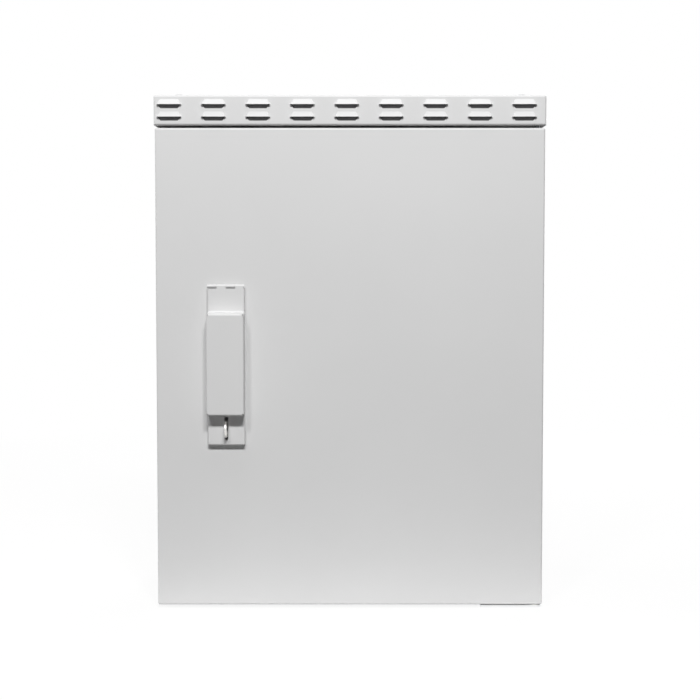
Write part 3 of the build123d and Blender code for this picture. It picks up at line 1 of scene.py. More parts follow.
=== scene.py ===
import bpy
import json
import math
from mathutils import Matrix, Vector


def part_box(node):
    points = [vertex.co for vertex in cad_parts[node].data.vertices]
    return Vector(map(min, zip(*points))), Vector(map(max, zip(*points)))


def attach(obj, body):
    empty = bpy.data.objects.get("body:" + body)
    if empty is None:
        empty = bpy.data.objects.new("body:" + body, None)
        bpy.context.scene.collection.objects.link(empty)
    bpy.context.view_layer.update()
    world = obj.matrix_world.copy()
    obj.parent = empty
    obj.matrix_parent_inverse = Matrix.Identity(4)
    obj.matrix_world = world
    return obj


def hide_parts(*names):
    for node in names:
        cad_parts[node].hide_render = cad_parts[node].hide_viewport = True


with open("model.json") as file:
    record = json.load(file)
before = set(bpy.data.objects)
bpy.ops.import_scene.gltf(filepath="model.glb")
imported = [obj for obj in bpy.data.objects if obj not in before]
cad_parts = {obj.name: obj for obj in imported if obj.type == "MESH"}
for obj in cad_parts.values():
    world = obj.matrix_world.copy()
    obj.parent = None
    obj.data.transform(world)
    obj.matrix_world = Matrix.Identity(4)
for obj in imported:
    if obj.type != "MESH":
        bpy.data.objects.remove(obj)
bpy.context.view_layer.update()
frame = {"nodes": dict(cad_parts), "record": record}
nodes = frame["nodes"]

# Everything is in metres: X to the right, Y to the back, Z up. The door faces -Y.
EYE = Vector((0.0, -2.68, 0.563))
AIM = Vector((0.0, -0.18, 0.4061))
SENSOR = 36.0  # mm
LENS = 82.8  # mm
FAR = 50.0

# Middle of the door, which the front lamps aim at
DOOR = (0.0, -0.18, 0.4)
# Share of the white world that lights the cabinet
AMBIENT = 0.03

# The studio sweep: a flat floor, a quarter bend of short steps, and a wall
FLOOR_SIZE = (16.0, 9.0, 1.0)
FLOOR_SHIFT = -1.5
FLOOR_BACK = 2.9
BEND_STEPS = 12
BEND_STEP = 0.2
WALL_HEIGHT = 5.0

# Metric threads: outer radius and pitch
M4 = (0.002, 0.0007)
M5 = (0.0025, 0.0008)
M6 = (0.003, 0.001)
M8 = (0.004, 0.00125)
THREAD_DEPTH = 0.6  # share of the pitch
# Cylinder heads: radius and height
M4_HEAD = (0.0038, 0.0024)
M5_HEAD = (0.0045, 0.003)
# Roof bolts: width over the flats, height of the head here and in CAD
BOLT_FLATS = 0.013
BOLT_HEAD = 0.004
BOLT_CAD_HEAD = 0.0053

# Spot welds of the stiffeners: rows from the flanges' edges, steps along them, depth of the flange
WELD_EDGE = 0.005
WELD_FIRST = 0.03
WELD_PITCH = 0.09
WELD_COUNT = 8
FLANGE = 0.0015

# Turns that point a piece made along Z to the front, the back or the right
TO_FRONT = (math.pi / 2, 0.0, 0.0)
TO_BACK = (-math.pi / 2, 0.0, 0.0)
TO_RIGHT = (0.0, math.pi / 2, 0.0)


# Camera at the photograph's angle: straight ahead, a little above the lock
def make_camera():
    data = bpy.data.cameras.new("camera")
    data.sensor_width = SENSOR
    data.lens = LENS
    data.clip_end = FAR
    camera = bpy.data.objects.new("camera", data)
    bpy.context.scene.collection.objects.link(camera)
    camera.location = EYE
    camera.rotation_euler = (AIM - EYE).to_track_quat("-Z", "Y").to_euler()
    bpy.context.scene.camera = camera


def soft_lamp(name, place, target, width, height, watts):
    """A rectangular area lamp that faces its target."""
    data = bpy.data.lights.new(name, "AREA")
    data.shape = "RECTANGLE"
    data.size = width
    data.size_y = height
    data.energy = watts
    lamp = bpy.data.objects.new(name, data)
    bpy.context.scene.collection.objects.link(lamp)
    lamp.location = place
    aim = Vector(target) - Vector(place)
    lamp.rotation_euler = aim.to_track_quat("-Z", "Y").to_euler()


# Node materials
def linear(hex_colour):
    """An sRGB hex value as the linear colour that sockets take."""
    parts = [int(hex_colour[i:i + 2], 16) / 255 for i in (1, 3, 5)]
    curve = [p / 12.92 if p <= 0.04045 else ((p + 0.055) / 1.055) ** 2.4 for p in parts]
    return (*curve, 1.0)


def add_node(tree, kind, settings=None, links=None):
    """Adds one node. Settings go to its properties or its sockets, and links feed its sockets."""
    made = tree.nodes.new(kind)
    for key, value in (settings or {}).items():
        if isinstance(key, str) and hasattr(made, key):
            setattr(made, key, value)
        else:
            made.inputs[key].default_value = value
    for key, source in (links or {}).items():
        tree.links.new(source, made.inputs[key])
    return made


def start_material(name, settings):
    """A material with its shader set, and the Object coordinates that its patterns read."""
    material = bpy.data.materials.new(name)
    material.use_nodes = True
    tree = material.node_tree
    tree.nodes.clear()
    shader = add_node(tree, "ShaderNodeBsdfPrincipled", settings)
    add_node(tree, "ShaderNodeOutputMaterial", None, {"Surface": shader.outputs["BSDF"]})
    place = add_node(tree, "ShaderNodeTexCoord")
    return material, tree, shader, place.outputs["Object"]


# Polyester powder coat in light grey, sprayed and baked on sheet steel.
# It gives a satin skin with a fine orange peel over faint waves of the sheet.
def powder_coat():
    coating = {"IOR": 1.5, "Specular IOR Level": 0.35}
    material, tree, shader, place = start_material("powder_coat", coating)
    cloud = add_node(tree, "ShaderNodeTexNoise", {"Scale": 5.0, "Detail": 3.0}, {"Vector": place})
    coat = add_node(tree, "ShaderNodeMixRGB",
                    {"Color1": linear("#D0D0D0"), "Color2": linear("#D6D6D6")},
                    {"Fac": cloud.outputs["Fac"]})
    tree.links.new(coat.outputs["Color"], shader.inputs["Base Color"])
    # Peel cells are about 1.2 mm across.
    peel = add_node(tree, "ShaderNodeTexNoise", {"Scale": 820.0, "Detail": 2.0}, {"Vector": place})
    gloss = add_node(tree, "ShaderNodeMapRange",
                     {"To Min": 0.38, "To Max": 0.5},
                     {"Value": peel.outputs["Fac"]})
    tree.links.new(gloss.outputs["Result"], shader.inputs["Roughness"])
    # The sheet's waves are about 120 mm long and a few hundredths of a millimetre deep.
    wave = add_node(tree, "ShaderNodeTexNoise", {"Scale": 8.0, "Detail": 1.0}, {"Vector": place})
    sheet = add_node(tree, "ShaderNodeBump",
                     {"Strength": 0.4, "Distance": 0.0002},
                     {"Height": wave.outputs["Fac"]})
    skin = add_node(tree, "ShaderNodeBump", {"Strength": 0.3, "Distance": 0.00003},
                    {"Height": peel.outputs["Fac"], "Normal": sheet.outputs["Normal"]})
    tree.links.new(skin.outputs["Normal"], shader.inputs["Normal"])
    return material


# Hot-dip galvanised sheet: frozen zinc crystals of about 14 mm, each with its own grey and gloss.
def galvanised_sheet():
    material, tree, shader, place = start_material("galvanised_sheet", {"Metallic": 1.0})
    warp = add_node(tree, "ShaderNodeTexNoise", {"Scale": 160.0, "Detail": 3.0}, {"Vector": place})
    bent = add_node(tree, "ShaderNodeMixRGB",
                    {"Fac": 0.012},
                    {"Color1": place, "Color2": warp.outputs["Color"]})
    spangle = add_node(tree, "ShaderNodeTexVoronoi",
                       {"Scale": 72.0},
                       {"Vector": bent.outputs["Color"]})
    crystal = add_node(tree, "ShaderNodeSeparateColor", None, {"Color": spangle.outputs["Color"]})
    zinc = add_node(tree, "ShaderNodeMixRGB",
                    {"Color1": linear("#B2B6B9"), "Color2": linear("#CFD2D4")},
                    {"Fac": crystal.outputs["Red"]})
    tree.links.new(zinc.outputs["Color"], shader.inputs["Base Color"])
    gloss = add_node(tree, "ShaderNodeMapRange",
                     {"To Min": 0.34, "To Max": 0.5},
                     {"Value": crystal.outputs["Green"]})
    tree.links.new(gloss.outputs["Result"], shader.inputs["Roughness"])
    frost = add_node(tree, "ShaderNodeBump",
                     {"Strength": 0.25, "Distance": 0.00005},
                     {"Height": warp.outputs["Fac"]})
    tree.links.new(frost.outputs["Normal"], shader.inputs["Normal"])
    return material


# Zinc plate on screws and pressed steel: cool grey with a faint bluish cloud from the passivation.
# The hinge brackets get a much lighter copy, painted light so that the lower bracket's strip under
# the door melts into the white floor.
def zinc_plate(name, cloudy, clear):
    material, tree, shader, place = start_material(name, {"Metallic": 1.0})
    cloud = add_node(tree, "ShaderNodeTexNoise", {"Scale": 60.0, "Detail": 4.0}, {"Vector": place})
    plate = add_node(tree, "ShaderNodeMixRGB", {"Color1": linear(cloudy), "Color2": linear(clear)},
                     {"Fac": cloud.outputs["Fac"]})
    tree.links.new(plate.outputs["Color"], shader.inputs["Base Color"])
    # The grain of the pressed steel below shows through at about 0.7 mm.
    grain = add_node(tree, "ShaderNodeTexNoise",
                     {"Scale": 1500.0, "Detail": 2.0},
                     {"Vector": place})
    gloss = add_node(tree, "ShaderNodeMapRange",
                     {"To Min": 0.24, "To Max": 0.42},
                     {"Value": grain.outputs["Fac"]})
    tree.links.new(gloss.outputs["Result"], shader.inputs["Roughness"])
    return material


# Stainless bar, drawn and brushed: fine scratches run along the bar, which stands out along Y.
def stainless_bar():
    material, tree, shader, place = start_material("stainless_steel", {"Metallic": 1.0})
    along = add_node(tree, "ShaderNodeMapping", {"Scale": (1.0, 0.03, 1.0)}, {"Vector": place})
    scratch = add_node(tree, "ShaderNodeTexNoise",
                       {"Scale": 3000.0, "Detail": 2.0},
                       {"Vector": along.outputs["Vector"]})
    steel = add_node(tree, "ShaderNodeMixRGB",
                     {"Color1": linear("#D3D2CE"), "Color2": linear("#E5E4E1")},
                     {"Fac": scratch.outputs["Fac"]})
    tree.links.new(steel.outputs["Color"], shader.inputs["Base Color"])
    gloss = add_node(tree, "ShaderNodeMapRange",
                     {"To Min": 0.2, "To Max": 0.34},
                     {"Value": scratch.outputs["Fac"]})
    tree.links.new(gloss.outputs["Result"], shader.inputs["Roughness"])
    return material


# Woven stainless mesh behind the louvres: round wires 1.4 mm apart in a mid grey, darker than bare
# stainless, over gaps painted near black as painted shade of the dark inside behind it.
def stainless_mesh():
    material, tree, shader, place = start_material("stainless_mesh", {"Metallic": 0.35})
    # A wave repeats every 0.314 / Scale metres, so 224 draws a wire every 1.4 mm.
    warp = add_node(tree, "ShaderNodeTexWave",
                    {"bands_direction": "X", "Scale": 224.0},
                    {"Vector": place})
    weft = add_node(tree, "ShaderNodeTexWave",
                    {"bands_direction": "Z", "Scale": 224.0},
                    {"Vector": place})
    wires = add_node(tree, "ShaderNodeMath", {"operation": "MAXIMUM"},
                     {0: warp.outputs["Fac"], 1: weft.outputs["Fac"]})
    edge = add_node(tree, "ShaderNodeMapRange",
                    {"From Min": 0.45, "From Max": 0.75},
                    {"Value": wires.outputs["Value"]})
    # Painted shade: the near-black gaps stand for the dark inside seen through the weave, on a
    # solid sheet.
    wires_over_painted_shade = add_node(tree, "ShaderNodeMixRGB",
                     {"Color1": linear("#1A1A1B"), "Color2": linear("#707071")},
                     {"Fac": edge.outputs["Result"]})
    tree.links.new(wires_over_painted_shade.outputs["Color"], shader.inputs["Base Color"])
    gloss = add_node(tree, "ShaderNodeMapRange",
                     {"To Min": 0.75, "To Max": 0.45},
                     {"Value": edge.outputs["Result"]})
    tree.links.new(gloss.outputs["Result"], shader.inputs["Roughness"])
    round_wire = add_node(tree, "ShaderNodeBump", {"Strength": 0.6, "Distance": 0.0002},
                          {"Height": wires.outputs["Value"]})
    tree.links.new(round_wire.outputs["Normal"], shader.inputs["Normal"])
    return material


# Machined steel, turned or milled and lightly oiled: darker than the zinc, with fine tool marks.
# The hinge pins get a much darker copy, painted shade of the dark gaps above and below the door
# where they sit.
def machined_steel(name, dark, light):
    material, tree, shader, place = start_material(name, {"Metallic": 1.0})
    along = add_node(tree, "ShaderNodeMapping", {"Scale": (0.05, 0.05, 1.0)}, {"Vector": place})
    marks = add_node(tree, "ShaderNodeTexNoise",
                     {"Scale": 1800.0, "Detail": 3.0},
                     {"Vector": along.outputs["Vector"]})
    steel = add_node(tree, "ShaderNodeMixRGB", {"Color1": linear(dark), "Color2": linear(light)},
                     {"Fac": marks.outputs["Fac"]})
    tree.links.new(steel.outputs["Color"], shader.inputs["Base Color"])
    gloss = add_node(tree, "ShaderNodeMapRange",
                     {"To Min": 0.22, "To Max": 0.4},
                     {"Value": marks.outputs["Fac"]})
    tree.links.new(gloss.outputs["Result"], shader.inputs["Roughness"])
    return material


# Nickel-plated brass of the lock cylinder: slightly warm, satin, with fine turning marks.
def nickel_brass():
    material, tree, shader, place = start_material("nickel_brass", {"Metallic": 1.0})
    grain = add_node(tree, "ShaderNodeTexNoise",
                     {"Scale": 1400.0, "Detail": 3.0},
                     {"Vector": place})
    nickel = add_node(tree, "ShaderNodeMixRGB",
                      {"Color1": linear("#C6C0AE"), "Color2": linear("#DBD6C9")},
                      {"Fac": grain.outputs["Fac"]})
    tree.links.new(nickel.outputs["Color"], shader.inputs["Base Color"])
    gloss = add_node(tree, "ShaderNodeMapRange",
                     {"To Min": 0.2, "To Max": 0.34},
                     {"Value": grain.outputs["Fac"]})
    tree.links.new(gloss.outputs["Result"], shader.inputs["Roughness"])
    return material


# Die-cast zinc with a black textured coat: low gloss, with a leathery grain of about 0.5 mm.
def black_casting():
    material, tree, shader, place = start_material("black_zinc_casting", {"IOR": 1.5})
    grain = add_node(tree, "ShaderNodeTexVoronoi", {"Scale": 1900.0}, {"Vector": place})
    coat = add_node(tree, "ShaderNodeMixRGB",
                    {"Color1": linear("#1A1A1C"), "Color2": linear("#2B2B2F")},
                    {"Fac": grain.outputs["Distance"]})
    tree.links.new(coat.outputs["Color"], shader.inputs["Base Color"])
    gloss = add_node(tree, "ShaderNodeMapRange",
                     {"To Min": 0.34, "To Max": 0.55},
                     {"Value": grain.outputs["Distance"]})
    tree.links.new(gloss.outputs["Result"], shader.inputs["Roughness"])
    skin = add_node(tree, "ShaderNodeBump",
                    {"Strength": 0.4, "Distance": 0.00006},
                    {"Height": grain.outputs["Distance"]})
    tree.links.new(skin.outputs["Normal"], shader.inputs["Normal"])
    return material


# Foamed and solid EPDM rubber: dull black with fine open cells.
def epdm_rubber():
    material, tree, shader, place = start_material("epdm_rubber", {"IOR": 1.48})
    cells = add_node(tree, "ShaderNodeTexVoronoi", {"Scale": 1200.0}, {"Vector": place})
    foam = add_node(tree, "ShaderNodeMixRGB",
                    {"Color1": linear("#131314"), "Color2": linear("#262627")},
                    {"Fac": cells.outputs["Distance"]})
    tree.links.new(foam.outputs["Color"], shader.inputs["Base Color"])
    gloss = add_node(tree, "ShaderNodeMapRange",
                     {"To Min": 0.68, "To Max": 0.88},
                     {"Value": cells.outputs["Distance"]})
    tree.links.new(gloss.outputs["Result"], shader.inputs["Roughness"])
    skin = add_node(tree, "ShaderNodeBump",
                    {"Strength": 0.5, "Distance": 0.00012},
                    {"Height": cells.outputs["Distance"]})
    tree.links.new(skin.outputs["Normal"], shader.inputs["Normal"])
    return material


# Moulded polyamide: a slightly mottled plastic with the fine spark-eroded grain of its mould.
def polyamide(name, dark, light):
    material, tree, shader, place = start_material(name, {"IOR": 1.53})
    mottle = add_node(tree, "ShaderNodeTexNoise", {"Scale": 90.0, "Detail": 3.0}, {"Vector": place})
    plastic = add_node(tree, "ShaderNodeMixRGB", {"Color1": linear(dark), "Color2": linear(light)},
                       {"Fac": mottle.outputs["Fac"]})
    tree.links.new(plastic.outputs["Color"], shader.inputs["Base Color"])
    grain = add_node(tree, "ShaderNodeTexNoise",
                     {"Scale": 2600.0, "Detail": 2.0},
                     {"Vector": place})
    gloss = add_node(tree, "ShaderNodeMapRange",
                     {"To Min": 0.4, "To Max": 0.56},
                     {"Value": grain.outputs["Fac"]})
    tree.links.new(gloss.outputs["Result"], shader.inputs["Roughness"])
    skin = add_node(tree, "ShaderNodeBump",
                    {"Strength": 0.3, "Distance": 0.00004},
                    {"Height": grain.outputs["Fac"]})
    tree.links.new(skin.outputs["Normal"], shader.inputs["Normal"])
    return material


def seen_rays(tree):
    """1 for the rays that the camera sees directly, in a reflection or through a clear piece."""
    ray = add_node(tree, "ShaderNodeLightPath")
    first = add_node(tree, "ShaderNodeMath", {"operation": "MAXIMUM"},
                     {0: ray.outputs["Is Camera Ray"], 1: ray.outputs["Is Glossy Ray"]})
    seen = add_node(tree, "ShaderNodeMath", {"operation": "MAXIMUM"},
                    {0: first.outputs["Value"], 1: ray.outputs["Is Transmission Ray"]})
    return seen


# Matt paper of the studio sweep. The camera and reflections see it white, with a soft shadow near
# the cabinet. The light that bounces off it comes from a white oval round the cabinet's foot, and
# from grey paper beyond.
def studio_sweep():
    material = bpy.data.materials.new("studio_sweep")
    material.use_nodes = True
    tree = material.node_tree
    tree.nodes.clear()
    place = add_node(tree, "ShaderNodeTexCoord")
    away = add_node(tree, "ShaderNodeVectorMath",
                    {"operation": "LENGTH"},
                    {0: place.outputs["Object"]})
    # From 0.8 m round the cabinet's foot the sweep turns to pure white.
    share = add_node(tree, "ShaderNodeMapRange",
                     {"From Min": 0.8, "From Max": 2.4, "To Min": 0.88, "To Max": 1.0},
                     {"Value": away.outputs["Value"]})
    seen = seen_rays(tree)
    oval = add_node(tree, "ShaderNodeMapping",
                    {"Scale": (0.5, 1.0, 1.0)},
                    {"Vector": place.outputs["Object"]})
    reach = add_node(tree, "ShaderNodeVectorMath",
                     {"operation": "LENGTH"},
                     {0: oval.outputs["Vector"]})
    near = add_node(tree, "ShaderNodeMapRange",
                    {"From Min": 0.27, "From Max": 0.43, "To Min": 0.85, "To Max": 0.0},
                    {"Value": reach.outputs["Value"]})
    bright = add_node(tree, "ShaderNodeMath", {"operation": "MAXIMUM"},
                      {0: seen.outputs["Value"], 1: near.outputs["Result"]})
    colour = add_node(tree, "ShaderNodeMixRGB",
                      {"Color1": linear("#4A4A4A"), "Color2": linear("#F6F6F6")},
                      {"Fac": bright.outputs["Value"]})
    paper = add_node(tree, "ShaderNodeBsdfDiffuse", None, {"Color": colour.outputs["Color"]})
    glow = add_node(tree, "ShaderNodeEmission", {"Color": (1.0, 1.0, 1.0, 1.0), "Strength": 1.0})
    level = add_node(tree, "ShaderNodeMath", {"operation": "MULTIPLY"},
                     {0: seen.outputs["Value"], 1: share.outputs["Result"]})
    mix = add_node(tree, "ShaderNodeMixShader", None,
                   {"Fac": level.outputs["Value"],
                    1: paper.outputs["BSDF"], 2: glow.outputs["Emission"]})
    add_node(tree, "ShaderNodeOutputMaterial", None, {"Surface": mix.outputs["Shader"]})
    return material


def make_world(strength):
    world = bpy.data.worlds.new("studio")
    bpy.context.scene.world = world
    world.use_nodes = True
    tree = world.node_tree
    tree.nodes.clear()
    seen = seen_rays(tree)
    level = add_node(tree, "ShaderNodeMapRange",
                     {"To Min": strength, "To Max": 1.0},
                     {"Value": seen.outputs["Value"]})
    light = add_node(tree, "ShaderNodeBackground",
                     {"Color": (1.0, 1.0, 1.0, 1.0)},
                     {"Strength": level.outputs["Result"]})
    add_node(tree, "ShaderNodeOutputWorld", None, {"Surface": light.outputs["Background"]})


# Modelling helpers
def only(piece):
    """Makes a piece the only selected one, and the active one."""
    bpy.ops.object.select_all(action="DESELECT")
    piece.select_set(True)
    bpy.context.view_layer.objects.active = piece


def take(name, material):
    """Names the object that an operator has just added, and gives it its material."""
    piece = bpy.context.object
    piece.name = name
    piece.data.materials.clear()
    piece.data.materials.append(material)
    return piece


def settle(piece):
    """Puts a piece's place, turn and scale into its mesh."""
    only(piece)
    bpy.ops.object.transform_apply(location=True, rotation=True, scale=True)


def turned(name, material, outline, steps=32):
    """A turned piece about Z. Its outline runs from the axis at the foot to the axis at the top."""
    # A small plane is merged to one vertex, which is then drawn along the outline and spun.
    bpy.ops.object.select_all(action="DESELECT")
    bpy.ops.mesh.primitive_plane_add(size=0.001)
    piece = take(name, material)
    bpy.ops.object.mode_set(mode="EDIT")
    bpy.ops.mesh.select_mode(type="VERT")
    bpy.ops.mesh.select_all(action="SELECT")
    bpy.ops.mesh.merge(type="CENTER")
    bpy.ops.transform.translate(value=(outline[0][0], 0.0, outline[0][1]))
    for (r0, z0), (r1, z1) in zip(outline, outline[1:]):
        bpy.ops.mesh.extrude_region_move(TRANSFORM_OT_translate={"value": (r1 - r0, 0.0, z1 - z0)})
    bpy.ops.mesh.select_all(action="SELECT")
    bpy.ops.mesh.spin(steps=steps, angle=2 * math.pi, center=(0.0, 0.0, 0.0), axis=(0.0, 0.0, 1.0))
    bpy.ops.mesh.select_all(action="SELECT")
    bpy.ops.mesh.remove_doubles(threshold=0.000001)
    bpy.ops.mesh.normals_make_consistent(inside=False)
    bpy.ops.object.mode_set(mode="OBJECT")
    return piece


def smooth(piece, degrees=35):
    only(piece)
    bpy.ops.object.shade_smooth_by_angle(angle=math.radians(degrees))


def cut(piece, tool, operation="DIFFERENCE"):
    """Cuts one mesh with another, and takes the tool away."""
    only(piece)
    bpy.ops.object.modifier_add(type="BOOLEAN")
    modifier = piece.modifiers[-1]
    modifier.operation = operation
    modifier.solver = "EXACT"
    modifier.object = tool
    bpy.ops.object.modifier_apply(modifier=modifier.name)
    bpy.data.objects.remove(tool)


def joined(pieces, name):
    """Joins all the pieces into the first one, under a new name."""
    bpy.ops.object.select_all(action="DESELECT")
    for piece in pieces:
        piece.select_set(True)
    bpy.context.view_layer.objects.active = pieces[0]
    bpy.ops.object.join()
    pieces[0].name = name
    return pieces[0]


def placed(piece, places, name, turn=(0.0, 0.0, 0.0)):
    """Copies of a piece, each turned and moved in its own mesh, joined to one."""
    copies = []
    for place in places:
        twin = piece.copy()
        twin.data = piece.data.copy()
        bpy.context.scene.collection.objects.link(twin)
        twin.rotation_euler = turn
        twin.location = place
        settle(twin)
        copies.append(twin)
    bpy.data.objects.remove(piece)
    return joined(copies, name)


def fasteners(node, axis, near=0.016):
    """Lowest and highest corners of each screw or stud in a CAD node. All run along one axis, and
    vertices nearer than this across it belong to the same one."""
    across = [i for i in range(3) if i != "xyz".index(axis)]
    groups = []
    for vertex in nodes[node].data.vertices:
        point = vertex.co.copy()
        for group in groups:
            if all(abs(point[i] - group[0][i]) < near for i in across):
                group.append(point)
                break
        else:
            groups.append([point])
    corners = []
    for group in groups:
        low = Vector([min(point[i] for point in group) for i in range(3)])
        high = Vector([max(point[i] for point in group) for i in range(3)])
        corners.append((low, high))
    return corners


def thread(size, low, high):
    """Outline of a threaded length, as rings one pitch apart."""
    radius, pitch = size
    depth = THREAD_DEPTH * pitch
    count = int((high - low) / pitch)
    points = []
    for i in range(count):
        foot = low + i * pitch
        points.append((radius - depth, foot))
        points.append((radius, foot + pitch / 2))
    points.append((radius - depth, low + count * pitch))
    return points


def hex_bar(name, material, across_flats, height, middle):
    """A hexagonal bar on the Z axis, as a start for heads, nuts and key recesses."""
    bpy.ops.object.select_all(action="DESELECT")
    corner = across_flats / math.sqrt(3)
    centre = (0.0, 0.0, middle)
    bpy.ops.mesh.primitive_cylinder_add(vertices=6, radius=corner, depth=height, location=centre)
    bar = take(name, material)
    settle(bar)
    return bar


def hex_head(name, material, across_flats, height):
    """A hexagon head with its corners turned off, standing on z = 0."""
    head = hex_bar(name, material, across_flats, height, height / 2)
    # The turning tool is wider than the corners, and starts below the head.
    wide = across_flats / math.sqrt(3) * 1.15
    rim = across_flats / 2 * 0.97
    slope = (wide - rim) * math.tan(math.radians(30))
    below = -0.001
    outline = [(0.0, below), (wide, below), (wide, height - slope), (rim, height), (0.0, height)]
    cut(head, turned("turning", material, outline, 48), "INTERSECT")
    return head


def socket_screw(name, material, outline, across_flats, depth, top):
    """A turned screw with its head up, and a hexagon recess with a drilled end in the head."""
    screw = turned(name, material, outline, 40)
    cut(screw, hex_bar("recess", material, across_flats, 2 * depth, top))
    radius = across_flats * 0.42
    tip = top - depth - across_flats * 0.2
    drill = [(0.0, tip), (radius, top - depth + 0.0001), (radius, top), (0.0, top)]
    cut(screw, turned("drill", material, drill, 20))
    return screw


def cap_screw(name, material, head, size, length):
    """A cylinder-head screw on the Z axis, with the underside of its head at z = 0."""
    head_radius, head_height = head
    radius, pitch = size
    edge = head_height * 0.12
    outline = [(0.0, -length), (radius - THREAD_DEPTH * pitch, -length)]
    outline += thread(size, -length + 0.3 * pitch, -0.4 * pitch)
    outline += [(radius, 0.0), (head_radius, 0.0), (head_radius, head_height - edge)]
    outline += [(head_radius - edge, head_height), (0.0, head_height)]
    return socket_screw(name, material, outline, head_radius * 0.95, head_height * 0.6, head_height)


def weld_stud(material, length):
    """A threaded stud on the Z axis, with the small flash of its weld round the foot."""
    outline = [(0.0, 0.0), (0.0052, 0.0), (0.0055, 0.0003), (0.005, 0.0008), (0.004, 0.0012)]
    outline += thread(M8, 0.0014, length - 0.0005)
    outline += [(0.003, length), (0.0, length)]
    return turned("stud", material, outline, 24)


def fastener_set(node, axis, name, build):
    """One piece for all the fasteners of a CAD node. Build makes one from its box and middle."""
    made = [build(low, high, (low + high) / 2) for low, high in fasteners(node, axis)]
    piece = joined(made, name)
    smooth(piece)
    return piece


# Hexagon bolts with low heads that hold the roof hood, with turned corners and threads
def roof_bolts(material):
    def build(low, high, middle):
        length = high.z - BOLT_CAD_HEAD - low.z
        head = hex_head("bolt_head", material, BOLT_FLATS, BOLT_HEAD)
        shank = [(0.0, -length), (0.0032, -length)]
        shank += thread(M8, -length + 0.0006, -0.0012)
        shank += [(0.004, 0.0), (0.006, 0.0), (0.006, 0.0004), (0.0, 0.0004)]
        bolt = joined([head, turned("bolt_shank", material, shank, 24)], "bolt")
        return placed(bolt, [(middle.x, middle.y, low.z + length)], "roof_bolt")

    return fastener_set("roof_bolts", "z", "roof_bolt_set", build)


# Threaded studs welded to the inside of the back wall
def plate_studs(material):
    def build(low, high, middle):
        stud = weld_stud(material, high.y - low.y)
        return placed(stud, [(middle.x, high.y, middle.z)], "plate_stud", TO_FRONT)

    return fastener_set("plate_studs", "y", "plate_stud_set", build)


# Earth stud on the left wall
def earth_stud(material):
    def build(low, high, middle):
        stud = weld_stud(material, high.x - low.x)
        return placed(stud, [(low.x, middle.y, middle.z)], "threaded_stud", TO_RIGHT)

    return fastener_set("earth_stud", "x", "earth_stud_threaded", build)


# Countersunk screws, flush in the hinge brackets
def bracket_screws(material):
    def build(low, high, middle):
        length = high.y - low.y
        outline = [(0.0, -length), (0.0024, -length)] + thread(M6, -length + 0.0004, -0.0027)
        outline += [(0.003, -0.0026), (0.0055, -0.0001), (0.0054, 0.0), (0.0, 0.0)]
        screw = socket_screw("sunk_screw", material, outline, 0.004, 0.0018, 0.0)
        return placed(screw, [(middle.x, low.y, middle.z)], "sunk_screw_set", TO_FRONT)

    return fastener_set("hinge_bracket_screws", "y", "hinge_bracket_screw_set", build)


# Screws that hold the gear case, with their heads inside the door
def case_screws(material):
    def build(low, high, middle):
        height = M5_HEAD[1]
        screw = cap_screw("case_screw", material, M5_HEAD, M5, high.y - low.y - height)
        return placed(screw, [(middle.x, high.y - height, middle.z)], "case_screw_set", TO_BACK)

    return fastener_set("case_screws", "y", "gear_case_screw_set", build)


# Screw in the middle of the knob
def knob_screw(material):
    def build(low, high, middle):
        height = M4_HEAD[1]
        screw = cap_screw("knob_cap_screw", material, M4_HEAD, M4, high.y - low.y - height)
        return placed(screw, [(middle.x, low.y + height, middle.z)], "threaded_screw", TO_FRONT)

    return fastener_set("knob_screw", "y", "knob_screw_threaded", build)


# Screws that clamp the gland plate to the tray
def gland_screws(material):
    def build(low, high, middle):
        height = M5_HEAD[1]
        screw = cap_screw("gland_screw", material, M5_HEAD, M5, high.z - low.z - height)
        return placed(screw, [(middle.x, middle.y, high.z - height)], "gland_screw_set")

    return fastener_set("gland_plate_screws", "z", "gland_plate_screw_set", build)


# Faint rings that spot welding leaves where the stiffeners' flanges are fixed to the door
def spot_welds(material):
    outline = [(0.0, -0.0002), (0.0036, -0.0002), (0.0034, 0.00015), (0.0026, 0.0003)]
    outline += [(0.0019, 0.0001), (0.0, 0.00008)]
    dimple = turned("dimple", material, outline, 24)
    places = []
    for stiffener in ("door_stiffener_left", "door_stiffener_right"):
        low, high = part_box(stiffener)
        for x in (low[0] + WELD_EDGE, high[0] - WELD_EDGE):
            for i in range(WELD_COUNT):
                places.append((x, low[1] + FLANGE, low[2] + WELD_FIRST + i * WELD_PITCH))
    piece = placed(dimple, places, "stiffener_spot_welds", TO_BACK)
    smooth(piece)
    return piece


def make_floor():
    """The studio sweep as one sheet: flat under the cabinet, then rising behind it."""
    bpy.ops.object.select_all(action="DESELECT")
    bpy.ops.mesh.primitive_plane_add(size=1.0)
    floor = take("sweep", studio_sweep())
    bpy.ops.object.mode_set(mode="EDIT")
    bpy.ops.mesh.select_all(action="SELECT")
    bpy.ops.transform.resize(value=FLOOR_SIZE)
    bpy.ops.transform.translate(value=(0.0, FLOOR_SHIFT, 0.0))
    bpy.ops.mesh.select_all(action="DESELECT")
    bpy.ops.object.mode_set(mode="OBJECT")
    for edge in floor.data.edges:
        ends = [floor.data.vertices[i].co.y for i in edge.vertices]
        edge.select = min(ends) > FLOOR_BACK
    bpy.ops.object.mode_set(mode="EDIT")
    bpy.ops.mesh.select_mode(type="EDGE")
    for i in range(BEND_STEPS):
        angle = (i + 0.5) * math.pi / (2 * BEND_STEPS)
        step = (0.0, BEND_STEP * math.cos(angle), BEND_STEP * math.sin(angle))
        bpy.ops.mesh.extrude_region_move(TRANSFORM_OT_translate={"value": step})
    bpy.ops.mesh.extrude_region_move(TRANSFORM_OT_translate={"value": (0.0, 0.0, WALL_HEIGHT)})
    bpy.ops.object.mode_set(mode="OBJECT")
    smooth(floor, 60)


bpy.context.scene.view_settings.view_transform = "Standard"
make_camera()
make_world(AMBIENT)
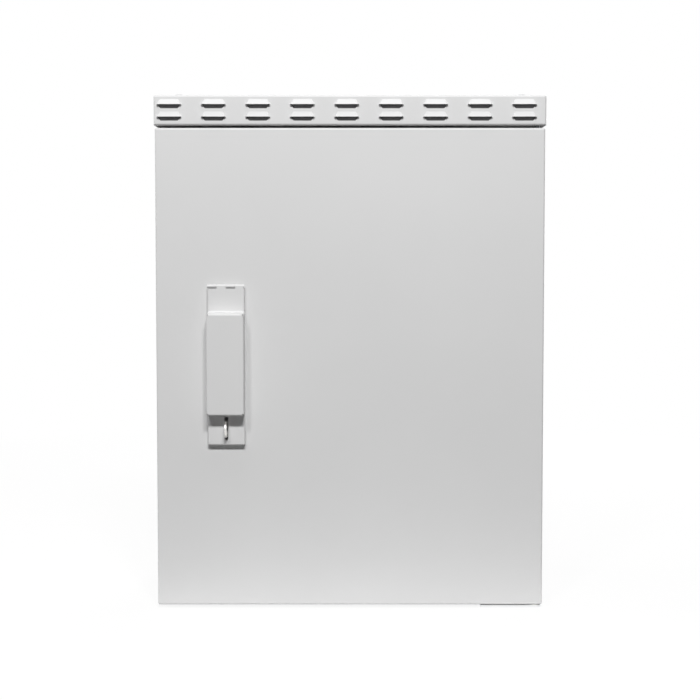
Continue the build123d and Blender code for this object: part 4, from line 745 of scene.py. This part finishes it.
# Three front lamps stand high above the camera and draw the soft shadows under the lock cover.
# One hangs overhead, and weak ones light the back and the sides. Each row gives the name, place,
# target, width, height and watts.
for row in (
    ("left_lamp", (-1.0, -3.3, 3.0), DOOR, 0.42, 0.35, 38.5),
    ("middle_lamp", (0.0, -3.3, 3.0), DOOR, 0.42, 0.35, 78.0),
    ("right_lamp", (0.55, -3.3, 3.0), DOOR, 0.42, 0.35, 58.0),
    ("top_lamp", (0.0, -0.3, 3.2), (0.0, -0.3, 0.0), 2.4, 2.4, 22.0),
    ("back_lamp", (0.6, 2.6, 1.3), (0.0, 0.15, 0.4), 1.2, 0.9, 38.0),
    ("left_side_lamp", (-2.6, 0.2, 1.2), (-0.3, 0.0, 0.4), 1.0, 1.0, 20.0),
    ("right_side_lamp", (2.4, 1.2, 1.2), (0.3, 0.0, 0.4), 1.0, 1.0, 8.0),
):
    soft_lamp(*row)
make_floor()

finish = {
    "powder_coat": powder_coat(),
    "galvanised_sheet": galvanised_sheet(),
    "zinc_plated_steel": zinc_plate("zinc_plated_steel", "#BDC1C6", "#D2D2D1"),
    "stainless_steel": stainless_bar(),
    "stainless_mesh": stainless_mesh(),
    "machined_steel": machined_steel("machined_steel", "#7C7D80", "#A3A4A6"),
    "nickel_brass": nickel_brass(),
    "black_zinc_casting": black_casting(),
    "epdm": epdm_rubber(),
    "grey_polyamide": polyamide("grey_polyamide", "#74777A", "#7E8184"),
    "white_polyamide": polyamide("white_polyamide", "#DAD9D1", "#E6E5DE"),
}
for part in frame["record"]["subparts"]:
    mesh = nodes[part["node"]].data
    mesh.materials.clear()
    mesh.materials.append(finish[part["material_slot"]])

# Nodes with lighter or darker copies of their slot's own metal: painted light on the hinge brackets
# so that they melt into the white floor, and painted shade on the hinge pins, which sit in the dark
# gaps above and below the door.
painted_light_zinc = zinc_plate("zinc_plate_painted_light", "#E6E8EA", "#F2F2F1")
nodes["lower_hinge_bracket"].data.materials[0] = painted_light_zinc
nodes["upper_hinge_bracket"].data.materials[0] = painted_light_zinc
# Painted shade: the hinge pins are darkened to stay dark in the gaps above and below the door.
nodes["hinge_pins"].data.materials[0] = machined_steel("steel_painted_shade", "#38393B", "#525356")

zinc = finish["zinc_plated_steel"]
for make, node, body in (
    (roof_bolts, "roof_bolts", "cabinet"),
    (plate_studs, "plate_studs", "cabinet"),
    (earth_stud, "earth_stud", "cabinet"),
    (bracket_screws, "hinge_bracket_screws", "cabinet"),
    (gland_screws, "gland_plate_screws", "cabinet"),
    (case_screws, "case_screws", "door"),
    (knob_screw, "knob_screw", "knob"),
):
    piece = make(zinc)
    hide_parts(node)
    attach(piece, body)

welds = spot_welds(finish["powder_coat"])
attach(welds, "door")

bpy.context.view_layer.update()
